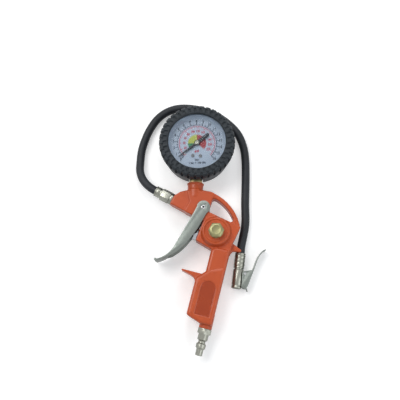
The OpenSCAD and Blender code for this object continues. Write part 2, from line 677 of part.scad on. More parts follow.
module hose_fitting() color("#c3c6c4") at_barrel() difference() {
    union() {
        translate([0, 0, -port_l + 1]) cylinder(r = port_r, h = port_l);
        cylinder(r = fitting_collar_r, h = fitting_collar_l - 0.5);
        translate([0, 0, fitting_collar_l - 0.6]) cylinder(r = fitting_af/2 - 0.7, h = 0.7);
        translate([0, 0, fitting_collar_l]) rotate([0, 0, 30]) hexagon(fitting_af, fitting_hex_l);
        translate([0, 0, fitting_l - 0.1]) cylinder(r = tail_r, h = ferrule_gun_l + 0.1);
    }
    translate([0, 0, -port_l]) cylinder(r = tail_bore_r, h = 60);
}
// crimped sleeve: end lip, grooves left by the jaws, windows round the end
module ferrule(l, bands) difference() {
    union() {
        cylinder(r = ferrule_d/2 - 0.35, h = l);
        cylinder(r = ferrule_d/2, h = 1);
        for (i = [0 : bands - 1]) translate([0, 0, 2 + i*(l - 3)/bands])
            cylinder(r = ferrule_d/2, h = (l - 3)/bands - 0.7);
        translate([0, 0, l - 1]) cylinder(r = ferrule_d/2, h = 1);
    }
    translate([0, 0, -1]) cylinder(r = tail_r + fit, h = l + 2);
    for (a = [0 : 60 : 359]) rotate([0, 0, a + 30]) translate([ferrule_d/2 - 0.5, 0, l - 2.6])
        rotate([0, 90, 0]) cylinder(r = 0.7, h = 2, $fn = 20);
}
module ferrule_gun() color("#b7bab6") at_barrel() translate([0, 0, fitting_l])
    ferrule(ferrule_gun_l, 1);
module ferrule_chuck() color("#b7bab6") along_chuck()
    translate([0, 0, ferrule_chuck_l]) mirror([0, 0, 1]) ferrule(ferrule_chuck_l, 3);

// the hose leaves the casting's ferrule, comes down to the rest plane, passes round
// the gauge and lies along the loop to the chuck
chuck_end = [chuck_face[0], chuck_face[1], chuck_z];
chuck_up = [sin(chuck_lean), cos(chuck_lean), 0];
gun_end = [gun_hose_end[0], gun_hose_end[1], mid];
gun_out = [barrel_out[0], barrel_out[1], 0];
hose_z = hose_d/2 + 0.1;
// angle round the dial, gap between boot and hose, rise above the rest plane
hose_bends = [[216.2, 22.8, 7.4], [208.6, 22.8, 5], [201, 20.9, 2.7], [191.3, 17.4, 0.7],
    [180, 15, 0], [167.8, 13.7, 0], [155, 12.8, 0], [141.2, 12.5, 0], [127.7, 11.6, 0],
    [113.9, 9.2, 0], [98.9, 5.5, 0], [81.5, 2.6, 0], [61.7, 1.5, 0], [41.5, 2, 0], [22.5, 4.2, 0],
    [4.5, 6.1, 0], [-12.1, 8.9, 0]];
hose_route = concat([gun_end, gun_end + 2.5*gun_out, gun_end + 5*gun_out],
    [for (b = hose_bends) let (r = boot_d/2 + hose_d/2 + b[1])
        [dial_c[0] + r*cos(b[0]), dial_c[1] + r*sin(b[0]), hose_z + b[2]]],
    [[31.5, 57, hose_z], [30.5, 32, hose_z], [30, 10, hose_z + 0.1]],
    [chuck_end + 8*chuck_up, chuck_end + 3*chuck_up, chuck_end]);
module hose() color("#1d1d1f") in_row() sweep(spline(hose_route, 2), hose_d/2, 12);

/* ---- chuck ---- */

body_top = ferrule_chuck_l + chuck_neck_l;
module chuck_body() color("#b9b8a8") difference() {
    union() {
        along_chuck() rotate_extrude() polygon([[0, 0], [tail_r, 0], [tail_r, ferrule_chuck_l],
            [chuck_d/2 - 1, ferrule_chuck_l], [chuck_d/2 - 1, body_top], [chuck_d/2 - 0.5, body_top],
            [chuck_d/2, body_top + 0.6], [chuck_d/2, chuck_l - 3.4], [chuck_d/2 - 0.35, chuck_l - 3.2],
            [chuck_d/2 - 0.35, chuck_l - 2.6], [chuck_d/2, chuck_l - 2.4], [chuck_d/2, chuck_l - 0.6],
            [chuck_d/2 - 0.6, chuck_l], [0, chuck_l]]);
        // lug for the clip's pin
        at_chuck() translate([0, -clip_pin_y, 0]) {
            translate([0, -clip_ear_r + 0.1, -clip_w/2 + clip_t + 0.2])
                cube([clip_pin_x, 2*clip_ear_r - 0.2, clip_w - 2*clip_t - 0.4]);
            translate([clip_pin_x, 0, 0]) cylinder(r = clip_ear_r - 0.1,
                h = clip_w - 2*clip_t - 0.4, center = true);
        }
    }
    along_chuck() translate([0, 0, -1]) cylinder(r = tail_bore_r, h = chuck_l);
    along_chuck() translate([0, 0, chuck_l - mouth_l]) cylinder(r = mouth_r, h = mouth_l + 1);
    along_chuck() translate([0, 0, chuck_l - mouth_l - seal_t]) cylinder(r = mouth_r + 0.3,
        h = seal_t + 0.1);
    along_chuck() translate([0, 0, chuck_l - mouth_l - seal_t - 1]) cylinder(r = mouth_r - 0.6,
        h = 1.1);
    // slot for the torsion spring and for the claw
    at_chuck() translate([chuck_d/2 - 1.2, -clip_pin_y - 4, -2]) cube([12, 8, 4]);
    at_chuck() translate([2, -chuck_l - 1, -2.9]) cube([12, 4.6, 5.8]);
    at_chuck() translate([clip_pin_x, -clip_pin_y, 0]) cylinder(r = clip_pin_r + fit, h = 20,
        center = true);
}
// thumb plate, seen from the side, from the claw end up to its flared tip
thumb_line = [[10.2, -31.3], [11.5, -26.5], [12.5, -22.5], [14.5, -14.9], [16.9, -5.2],
    [18.3, -1.2], [20.1, 2.2], [22.1, 4.6], [24.2, 6]];
module chuck_clip() color("#b4b7ae") difference() {
    at_chuck() union() {
        for (s = [-1, 1]) translate([0, 0, s*(clip_w - clip_t)/2])
            linear_extrude(clip_t, center = true) {
                translate([clip_pin_x, -clip_pin_y]) circle(r = clip_ear_r);
                polygon([[clip_pin_x, -clip_pin_y + clip_ear_r], [14.7, -14.4], [12.5, -22.5],
                    [11.5, -26.5], [10.4, -30.6], [8.6, -34], [6.2, -33.8], [4.2, -31],
                    [clip_pin_x - clip_ear_r, -clip_pin_y]]);
            }
        linear_extrude(clip_w, center = true) band(thumb_line, clip_t + 0.2);
        // claw between the cheeks
        linear_extrude(5.2, center = true) polygon([[3.95, -31.9], [4.6, -32.9], [8.8, -33.9],
            [9, -32.8], [5, -31.6]]);
        // tongue that stands out beside the mouth
        linear_extrude(3.4, center = true) polygon([[8.5, -33.3], [9.8, -32.9], [10.9, -36],
            [10.6, -36.4], [10.1, -36.3]]);
        linear_extrude(clip_w, center = true) polygon([[6.4, -33.3], [8.8, -33.9], [9, -32.8],
            [6.6, -32.1]]);
    }
    at_chuck() translate([clip_pin_x, -clip_pin_y, 0]) cylinder(r = clip_pin_r + run, h = 20,
        center = true);
}
module chuck_pin() color("#8d9094") at_chuck() translate([clip_pin_x, -clip_pin_y, 0])
    cylinder(r = clip_pin_r, h = clip_w, center = true);
module chuck_spring() color("#a5a8aa") at_chuck() translate([clip_pin_x, -clip_pin_y, 0])
    sweep(concat([[-1.6, 4.6, -1.4], [-1.75, 2.2, -1.35]],
        [for (i = [0 : 12*3]) let (a = 180 - 30*i) [1.75*cos(a), 1.75*sin(a), -1.3 + 2.6*i/36]],
        [[-1.7, 1, 1.35]]), 0.3, 6);
module chuck_seal() color("#1c1c1c") along_chuck()
    translate([0, 0, chuck_l - mouth_l - seal_t + 0.05]) ring(mouth_r + 0.25, 2, seal_t - 0.25);
module chuck_depressor() color("#c8a45a") along_chuck()
    translate([0, 0, chuck_l - mouth_l - seal_t - 0.9]) difference() {
        union() {
            cylinder(r = mouth_r - 0.65, h = 0.9);
            cylinder(r = 0.9, h = seal_t + 0.7);
        }
        for (a = [0 : 120 : 359]) rotate([0, 0, a]) translate([2.2, 0, -1])
            cylinder(r = 0.7, h = 3, $fn = 20);
    }

/* ---- gauge housing ---- */

module gauge_case() color("#2a2b2e") difference() {
    at_gauge() difference() {
        translate([0, 0, case_back]) cylinder(r = case_d/2, h = case_depth, $fn = 96);
        translate([0, 0, case_back + case_wall]) cylinder(r = case_d/2 - case_wall,
            h = case_depth, $fn = 96);
        for (p = case_screw_at) translate([p[0], p[1], case_back - 1])
            cylinder(r = 1.2 + run, h = 4, $fn = 24);
    }
    at_stem() cylinder(r = socket_af/2/cos(30) + 0.2, h = stem_len - case_d/2 + 6);
}
module gauge_boot() color("#202124") at_gauge() difference() {
    rotate_extrude($fn = 108) polygon([[case_d/2 - 8, mid - stem_back - boot_back],
        [boot_d/2 - boot_draft - 1.6, mid - stem_back - boot_back],
        [boot_d/2 - boot_draft, case_back - 0.4], [boot_d/2, boot_h - 6],
        [boot_d/2 - 0.4, boot_h - 2.4], [boot_d/2 - 2.2, boot_h],
        [boot_open_r + 1.2, boot_h], [boot_open_r, boot_h - 1.1],
        [boot_open_r, window_z + window_t + bezel_t + 0.2],
        [case_d/2 + 1.2, window_z + window_t + bezel_t + 0.2],
        [case_d/2 + 1.2, window_z + window_t - bezel_skirt - 0.2],
        [case_d/2 + rubber_gap, window_z + window_t - bezel_skirt - 0.6],
        [case_d/2 + rubber_gap, case_back], [case_d/2 - 8, case_back]]);
    // outer row of gaps, cut down the side
    for (i = [0 : treads - 1]) rotate([0, 0, i*360/treads]) translate([boot_d/2 - 4.4,
        -tread_gap/2, boot_h - tread_side]) rotate([0, 0, -8]) union() {
        translate([0, 0, tread_side - tread_depth]) cube([8, tread_gap, tread_depth + 1]);
        translate([2.4, 0, 0]) cube([6, tread_gap, tread_side + 1]);
    }
    // inner row, set between the outer ones
    for (i = [0 : treads - 1]) rotate([0, 0, (i + 0.5)*360/treads])
        translate([boot_open_r + 1.8, -tread_gap/2, boot_h - tread_depth])
        rotate([0, 0, 8]) cube([boot_d/2 - boot_open_r - 5.6, tread_gap, tread_depth + 1]);
    // notch for the socket, open at the back, so that the boot slips over the gauge
    translate([0, 4 - case_d/2, 0]) rotate([90, 0, 0]) linear_extrude(boot_d) hull() {
        translate([0, mid + 3]) circle(r = boot_notch/2, $fn = 48);
        translate([-boot_notch/2, -1]) square([boot_notch, 1]);
    }
}
module gauge_bezel() color("#303134") at_gauge() translate([0, 0, window_z + window_t])
    rotate_extrude($fn = 96) polygon([[case_d/2 - 1.9, 0.02], [case_d/2 + 0.05, 0.02],
        [case_d/2 + 0.05, -bezel_skirt], [case_d/2 + 1.05, -bezel_skirt],
        [case_d/2 + 1.05, bezel_t - 0.5], [case_d/2 + 0.55, bezel_t], [case_d/2 - 1.9, bezel_t]]);
module gauge_window() color("#dfe8ee", 0.35) at_gauge() translate([0, 0, window_z])
    cylinder(r = case_d/2, h = window_t, $fn = 96);
dial_screw_at = [[-3.75, -13.4], [3.75, -13.4]];
module gauge_dial() color("#eef3f8") at_gauge() translate([0, 0, dial_z]) difference() {
    // flat face and the rim that rises to the window
    rotate_extrude($fn = 96) polygon([[0, 0], [dial_r - 2.6, 0], [dial_r, window_z - dial_z - 1],
        [dial_r, window_z - dial_z - 0.2], [dial_r - 0.6, window_z - dial_z - 0.2],
        [dial_r - 3, dial_t], [0, dial_t]]);
    translate([0, 0, -1]) cylinder(r = 1.6, h = 3);
    for (p = dial_screw_at) translate([p[0], p[1], -1]) cylinder(r = 0.9, h = 3, $fn = 20);
}
module dial_screws() color("#b9bcbe") at_gauge() for (p = dial_screw_at)
    translate([p[0], p[1], dial_z + dial_t]) screw(0.85, dial_z + dial_t - plate2_z - plate_t
        + 0.6, 1.7, 0.7);
module gauge_pointer() color("#141414") at_gauge() translate([0, 0, pointer_z])
    rotate([0, 0, pointer_rest]) difference() {
        union() {
            linear_extrude(pointer_t) polygon([[-1, -pointer_w/2], [2, -1.3],
                [pointer_l, -0.45], [pointer_l, 0.45], [2, 1.3], [-1, pointer_w/2],
                [-pointer_tail, pointer_w/2], [-pointer_tail, -pointer_w/2]]);
            translate([-pointer_tail, 0, 0]) cylinder(r = pointer_w/2, h = pointer_t);
            cylinder(r = hub_r + 0.7, h = pointer_t);
        }
        translate([0, 0, -1]) cylinder(r = arbor_r + 0.02, h = 3, $fn = 24);
    }
module pointer_hub() color("#c9ccd0") at_gauge() translate([0, 0, pointer_z + pointer_t])
    difference() {
        rotate_extrude() polygon([[0, 0], [hub_r, 0], [hub_r, 0.5], [hub_r - 0.5, 0.9], [0, 0.9]]);
        translate([0, 0, 0.5]) cylinder(r = 0.7, h = 1, $fn = 24);
        translate([0, 0, -1]) cylinder(r = arbor_r + 0.02, h = 1.3, $fn = 24);
    }

/* ---- gauge movement ---- */

pinion_r = tooth_mod*pinion_teeth/2;
sector_r = tooth_mod*sector_teeth/2;
sector_y = -(pinion_r + sector_r);
case_screw_at = [for (s = [-1, 1]) [4.4*s, case_screw_in - case_d/2]];
block_low = sqrt(pow(case_d/2 - case_wall, 2) - pow(block_w/2, 2)) - 0.2;
module gauge_socket() color("#b58d45") difference() {
    union() {
        at_stem() translate([0, 0, -gauge_port_l + 1]) cylinder(r = gauge_port_r, h = gauge_port_l);
        at_stem() translate([0, 0, 0.8]) hexagon(socket_af, stem_len - case_d/2 + 2);
        // block that stands on the case's back and carries the tube and the movement
        at_gauge() translate([-block_w/2, -block_low, case_back + case_wall])
            cube([block_w, block_low - block_top, block_top_z - case_back - case_wall]);
    }
    at_stem() translate([0, 0, -gauge_port_l]) cylinder(r = 1.3, h = gauge_port_l + stem_len - tube_r);
    at_gauge() translate([0, 0, mid]) {
        tube_solid(tube_w, tube_t);
        translate([tube_r*cos(tube_a[1]), -tube_r, 0]) rotate([0, 90, 0]) cylinder(r = 0.9, h = 6.2,
            $fn = 24);
    }
    at_gauge() for (p = case_screw_at) translate([p[0], p[1], case_back])
        cylinder(r = 1.2 + fit, h = case_wall + 6, $fn = 24);
    at_gauge() for (p = plate_screw_at) translate([p[0], p[1], block_top_z - 3.2])
        cylinder(r = 0.88 + fit, h = 4, $fn = 24);
}
module socket_washer() color("#b87333") at_stem() ring(neck_r - 1.2, gauge_port_r + 0.1, 0.8);
module tube_solid(w, t) rotate([0, 0, tube_a[0]])
    rotate_extrude(angle = tube_a[1] - tube_a[0], $fn = 72) translate([tube_r, 0]) tube_2d(w, t);
module bourdon_tube() color("#b98a3e") at_gauge() translate([0, 0, mid])
    rotate([0, 0, tube_a[0]]) rotate_extrude(angle = tube_a[1] - tube_a[0], $fn = 72)
    translate([tube_r, 0]) difference() {
        tube_2d(tube_w, tube_t);
        tube_2d(tube_w - 2*tube_wall, tube_t - 2*tube_wall);
    }
module tube_2d(w, t) {
    square([t, w - t], center = true);
    for (s = [-1, 1]) translate([0, s*(w - t)/2]) circle(d = t, $fn = 24);
}
tail_rest = [tail_arm*cos(sector_sweep/2), sector_y - tail_arm*sin(sector_sweep/2)];
link_top = [tube_r - 3.4, -3.4];
module tube_tip() color("#b58d45") at_gauge() {
    translate([0, 0, mid]) rotate([0, 0, tube_a[0]]) translate([tube_r - tube_t/2, -4.6, -tube_w/2])
        cube([tube_t, 4.55, tube_w]);
    translate([link_top[0], link_top[1] - 0.5, block_top_z - 2]) translate([-1.4, -1.4, 0])
        cube([4.4, 3, 1.8]);
    translate([link_top[0], link_top[1], block_top_z - 2])
        cylinder(r = 0.6, h = link_z - block_top_z + 3, $fn = 24);
}
module drive_link() color("#c9b06a") at_gauge() translate([0, 0, link_z]) difference() {
    linear_extrude(0.5) hull() {
        translate(link_top) circle(r = 1.3, $fn = 24);
        translate(tail_rest) circle(r = 1.3, $fn = 24);
    }
    translate([link_top[0], link_top[1], -1]) cylinder(r = 0.6 + fit, h = 3, $fn = 24);
    translate([tail_rest[0], tail_rest[1], -1]) cylinder(r = 0.85, h = 3, $fn = 24);
}
module sector_gear() color("#c3a24e") at_gauge() translate([0, sector_y, sector_z]) {
    // rim with its teeth, two arms, hub, tail and arbor
    for (i = [-1 : 8]) rotate([0, 0, 90 - (i + 0.5)*360/sector_teeth])
        linear_extrude(sector_t) polygon([[sector_r - 0.6, -0.2], [sector_r + 0.16, -0.11],
            [sector_r + 0.16, 0.11], [sector_r - 0.6, 0.2]]);
    rotate([0, 0, 90 - 9*360/sector_teeth]) rotate_extrude(angle = 10.6*360/sector_teeth,
        $fn = 96) translate([sector_r - 2.2, 0]) square([1.9, sector_t]);
    for (a = [-4, 30]) rotate([0, 0, 90 - a]) translate([0, -0.7, 0])
        cube([sector_r - 1, 1.4, sector_t]);
    cylinder(r = 2, h = sector_t);
    rotate([0, 0, -sector_sweep/2]) translate([0, -1, 0]) cube([tail_arm, 2, sector_t]);
    rotate([0, 0, -sector_sweep/2]) translate([tail_arm, 0, 0])
        cylinder(r = 1.3, h = sector_t, $fn = 24);
    rotate([0, 0, -sector_sweep/2]) translate([tail_arm, 0, 0])
        cylinder(r = 0.55, h = sector_t + 0.9, $fn = 24);
    translate([0, 0, plate1_z - sector_z + 0.1]) cylinder(r = arbor_r,
        h = plate_gap + 2*plate_t - 0.2, $fn = 24);
}
module pinion_arbor() color("#c9ccd0") at_gauge() {
    translate([0, 0, plate1_z + 0.1]) cylinder(r = arbor_r, h = pointer_z + pointer_t + 0.2
        - plate1_z - 0.1, $fn = 24);
    translate([0, 0, sector_z - 0.1]) linear_extrude(sector_t + 0.2) {
        circle(r = pinion_r - 0.42, $fn = 24);
        for (i = [0 : pinion_teeth - 1]) rotate(270 + i*360/pinion_teeth)
            polygon([[pinion_r - 0.6, -0.2], [pinion_r + 0.2, -0.1], [pinion_r + 0.2, 0.1],
                [pinion_r - 0.6, 0.2]]);
    }
}
pillar_at = [[-7.4, -20.4], [-7.4, 1.4], [7.4, 1.4]];
plate_screw_at = [[-4.6, -21.6], [4.6, -21.8]];
module plate_2d() difference() {
    union() {
        polygon([[-7, -24.6], [7, -24.6], [7, -16], [9, 1.4], [7.4, 3], [-7.4, 3], [-9, 1.4],
            [-9, -20.4]]);
        for (p = pillar_at) translate(p) circle(r = 1.8, $fn = 28);
    }
    circle(r = arbor_r + run, $fn = 24);
    translate([0, sector_y]) circle(r = arbor_r + run, $fn = 24);
}
module movement_plates() color("#c8ab62") at_gauge() {
    translate([0, 0, plate1_z]) linear_extrude(plate_t) difference() {
        plate_2d();
        for (p = plate_screw_at) translate(p) circle(r = 0.9, $fn = 24);
    }
    translate([0, 0, plate2_z]) linear_extrude(plate_t) difference() {
        plate_2d();
        for (p = plate_screw_at) translate(p) circle(r = 1.8, $fn = 24);
        for (p = dial_screw_at) translate(p) circle(r = 0.9, $fn = 24);
    }
}
module movement_pillars() color("#b58d45") at_gauge() {
    for (p = pillar_at) translate([p[0], p[1], plate1_z + plate_t])
        cylinder(r = 1.4, h = plate_gap, $fn = 28);
    // posts that carry the dial
    for (p = dial_screw_at) translate([p[0], p[1], plate2_z + plate_t])
        ring(1.6, 0.88, dial_z - plate2_z - plate_t);
}
module movement_screws() color("#b9bcbe") at_gauge() for (p = plate_screw_at)
    translate([p[0], p[1], plate1_z + plate_t]) screw(0.88, plate_t + 2.8, 1.5, 0.6);
module hairspring() color("#9fa4a8") at_gauge() translate([0, 0, plate2_z - 1])
    linear_extrude(0.6) spiral_2d(arbor_r + 0.5, 0.9, 4.2, 0.14);
function spiral_pt(r, pitch, a) = (r + pitch*a/360)*[cos(a), sin(a)];
module spiral_2d(r, pitch, turns, t) polygon(concat(
    [for (a = [0 : 20 : 360*turns]) spiral_pt(r, pitch, a)],
    [for (a = [360*turns : -20 : 0]) spiral_pt(r + t, pitch, a)]));
module case_screws() color("#55585c") at_gauge() for (p = case_screw_at)
    translate([p[0], p[1], case_back]) mirror([0, 0, 1]) screw(1.2, case_wall + 5.6, 2.2, 0.9);
module stop_pin() color("#c9ccd0") at_gauge() rotate([0, 0, pointer_rest]) translate([17, 1.45, dial_z
    + dial_t]) cylinder(r = 0.5, h = pointer_z + pointer_t - dial_z - dial_t + 0.2, $fn = 24);

casting();
lever();
lever_pin();
valve_bush();
valve_stem();
valve_rubber();
valve_seat();
valve_spring();
brass_plug();
plug_washer();
inlet_nipple();
hose_fitting();
ferrule_gun();
hose();
ferrule_chuck();
chuck_body();
chuck_clip();
chuck_pin();
chuck_spring();
chuck_seal();
chuck_depressor();
gauge_case();
gauge_boot();
gauge_bezel();
gauge_window();
gauge_dial();
dial_screws();
gauge_pointer();
pointer_hub();
pinion_arbor();
gauge_socket();
socket_washer();
bourdon_tube();
tube_tip();
drive_link();
sector_gear();
movement_plates();
movement_pillars();
movement_screws();
hairspring();
case_screws();
stop_pin();
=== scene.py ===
import bpy
import math
from mathutils import Matrix, Vector


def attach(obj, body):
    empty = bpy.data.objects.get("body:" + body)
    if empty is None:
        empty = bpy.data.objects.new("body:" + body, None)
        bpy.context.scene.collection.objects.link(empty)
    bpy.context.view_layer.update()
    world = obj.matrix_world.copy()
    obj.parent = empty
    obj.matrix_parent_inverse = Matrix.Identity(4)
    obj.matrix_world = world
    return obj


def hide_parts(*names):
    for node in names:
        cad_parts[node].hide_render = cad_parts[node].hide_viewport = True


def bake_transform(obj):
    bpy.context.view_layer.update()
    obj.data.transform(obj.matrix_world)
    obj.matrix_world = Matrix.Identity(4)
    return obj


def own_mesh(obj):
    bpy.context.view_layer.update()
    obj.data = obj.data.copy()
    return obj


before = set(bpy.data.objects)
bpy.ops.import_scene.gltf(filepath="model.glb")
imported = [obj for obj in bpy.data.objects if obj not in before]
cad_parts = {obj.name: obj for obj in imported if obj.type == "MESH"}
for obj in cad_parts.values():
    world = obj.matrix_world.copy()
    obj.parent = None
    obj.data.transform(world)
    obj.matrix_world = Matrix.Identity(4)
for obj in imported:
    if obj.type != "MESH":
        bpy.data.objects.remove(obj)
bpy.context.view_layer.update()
mm = 0.001
# gaps in mm that close when a copied mesh is welded and when a bevelled one is cleaned, and the angle in
# degrees under which turned and pressed faces are shaded as one
meshCare = {"weld": 0.005, "sliver": 0.002, "smoothUnder": 40}
# where the gauge stands, in mm
dialCentre = (0.3747, 82.6855)
print("frame loaded:", len(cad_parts), "nodes")


def clearSelection():
    if bpy.context.object and bpy.context.object.mode != "OBJECT":
        bpy.ops.object.mode_set(mode="OBJECT")
    bpy.ops.object.select_all(action="DESELECT")


def pick(*pieces):
    clearSelection()
    for piece in pieces:
        piece.select_set(True)
    bpy.context.view_layer.objects.active = pieces[0]


def applyAll(piece):
    # every modifier and the object's own place go into its mesh
    pick(piece)
    for modifier in list(piece.modifiers):
        bpy.ops.object.modifier_apply(modifier=modifier.name)
    bpy.ops.object.transform_apply(location=True, rotation=True, scale=True)


def joined(pieces, name):
    pick(*pieces)
    if len(pieces) > 1:
        bpy.ops.object.join()
    piece = bpy.context.object
    piece.name = name
    piece.data.name = name
    return piece


def selectFaces(piece, wanted):
    # faces are picked by their middle and normal, then edit mode opens on them
    pick(piece)
    bpy.ops.object.mode_set(mode="EDIT")
    bpy.ops.mesh.select_mode(type="FACE")
    bpy.ops.mesh.select_all(action="DESELECT")
    bpy.ops.object.mode_set(mode="OBJECT")
    for face in piece.data.polygons:
        face.select = wanted(face.center, face.normal)
    bpy.ops.object.mode_set(mode="EDIT")


def copyOfNode(node, name):
    # the frame's own mesh stays as it is; the copy is welded so that it can be worked on
    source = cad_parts[node]
    piece = bpy.data.objects.new(name, source.data.copy())
    bpy.context.collection.objects.link(piece)
    piece.data.materials.clear()
    pick(piece)
    bpy.ops.mesh.customdata_custom_splitnormals_clear()
    bpy.ops.object.mode_set(mode="EDIT")
    bpy.ops.mesh.select_all(action="SELECT")
    bpy.ops.mesh.remove_doubles(threshold=meshCare["weld"] * mm)
    bpy.ops.object.mode_set(mode="OBJECT")
    return piece


def cleanMesh(piece):
    # slivers that a bevel leaves in tight corners collapse, and every face looks outward
    pick(piece)
    bpy.ops.object.mode_set(mode="EDIT")
    bpy.ops.mesh.select_all(action="SELECT")
    bpy.ops.mesh.remove_doubles(threshold=meshCare["sliver"] * mm)
    bpy.ops.mesh.dissolve_degenerate(threshold=meshCare["sliver"] * mm)
    bpy.ops.mesh.select_all(action="SELECT")
    bpy.ops.mesh.normals_make_consistent(inside=False)
    bpy.ops.object.mode_set(mode="OBJECT")


def moulded(piece, shape):
    # one even mesh over the whole piece rounds its edges, as casting and moulding do
    pick(piece)
    piece.data.remesh_voxel_size = shape["voxel"] * mm
    bpy.ops.object.voxel_remesh()
    smooth = piece.modifiers.new("smooth", "SMOOTH")
    smooth.factor = shape["softness"]
    smooth.iterations = shape["smoothing"]
    thin = piece.modifiers.new("thin", "DECIMATE")
    thin.ratio = shape["keep"]
    applyAll(piece)
    bpy.ops.object.shade_smooth()
    return piece


def flatRing(outer, inner, corners, middle):
    # the edge of a circle is drawn inwards; its radii are in mm
    bpy.ops.mesh.primitive_circle_add(vertices=corners, radius=outer * mm, location=middle)
    piece = bpy.context.object
    bpy.ops.object.mode_set(mode="EDIT")
    bpy.ops.mesh.select_all(action="SELECT")
    bpy.ops.mesh.extrude_edges_move()
    scale = inner / outer
    bpy.ops.transform.resize(value=(scale, scale, 1), center_override=middle)
    bpy.ops.object.mode_set(mode="OBJECT")
    return piece


def dressNode(node, material):
    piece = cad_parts[node]
    for slot in piece.material_slots:
        slot.material = material
    if not piece.material_slots:
        piece.data.materials.append(material)


def dress(piece, material, body, slot, *nodes):
    # the nodes behind a piece get its finish too
    piece.data.materials.clear()
    piece.data.materials.append(material)
    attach(piece, body)
    if nodes:
        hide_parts(*nodes)
    for node in nodes:
        dressNode(node, material)
    return piece


def addNode(tree, kind, place, **settings):
    node = tree.nodes.new(kind)
    node.location = place
    for key, value in settings.items():
        setattr(node, key, value)
    return node


def newGroup(name, inputs, outputs):
    group = bpy.data.node_groups.new(name, "ShaderNodeTree")
    for label, kind, value in inputs:
        socket = group.interface.new_socket(label, in_out="INPUT", socket_type=kind)
        socket.default_value = value
    for label, kind in outputs:
        group.interface.new_socket(label, in_out="OUTPUT", socket_type=kind)
    start = addNode(group, "NodeGroupInput", (-900, 0))
    end = addNode(group, "NodeGroupOutput", (900, 0))
    return group, start, end


def feed(tree, socket, value):
    # what goes in is a plain value, or the socket that it comes out of
    if hasattr(value, "default_value"):
        tree.links.new(value, socket)
    else:
        socket.default_value = value


def noiseAt(tree, vector, kind, place):
    # a kind is its scale per metre, its detail and its roughness
    noise = addNode(tree, "ShaderNodeTexNoise", place)
    for label, value in zip(("Scale", "Detail", "Roughness"), kind):
        feed(tree, noise.inputs[label], value)
    tree.links.new(vector, noise.inputs["Vector"])
    return noise.outputs["Fac"]


def mapRange(tree, value, span, place):
    # a span is the lowest and highest value that come in, and what they turn into
    node = addNode(tree, "ShaderNodeMapRange", place, clamp=True)
    tree.links.new(value, node.inputs["Value"])
    for label, limit in zip(("From Min", "From Max", "To Min", "To Max"), span):
        node.inputs[label].default_value = limit
    return node.outputs["Result"]


def mathNode(tree, operation, values, place):
    node = addNode(tree, "ShaderNodeMath", place, operation=operation)
    for socket, value in zip(node.inputs, values):
        feed(tree, socket, value)
    return node.outputs[0]


def mixColour(tree, factor, first, second, place):
    # a mix node's colours are its inputs 6 and 7, and its output 2
    node = addNode(tree, "ShaderNodeMix", place, data_type="RGBA")
    for index, value in ((0, factor), (6, first), (7, second)):
        feed(tree, node.inputs[index], value)
    return node.outputs[2]


edgeWear = (0.515, 0.60, 0, 1)


def edgeMask(tree, place):
    # pointed edges of the mesh, where handling rubs a finish
    sharp = addNode(tree, "ShaderNodeNewGeometry", place).outputs["Pointiness"]
    return mapRange(tree, sharp, edgeWear, (place[0] + 180, place[1]))


# noises and spans of the paint; its ridge has a flat top and ends at a foot, in metres from the level
paintLook = {
    "cloud": (60, 3, 0.5), "shade": (0.35, 0.7, 0, 0.55), "spread": (0.3, 0.7, -0.05, 0.07),
    "patches": (240, 4, 0.6), "patchEdge": (0.42, 0.62, 0, 1), "worn": 0.55,
    "peel": (2, 0.5), "grit": (5200, 2, 0.7), "gritShare": 0.2, "ridge": (0.00008, 0.00036, 1, 0),
}


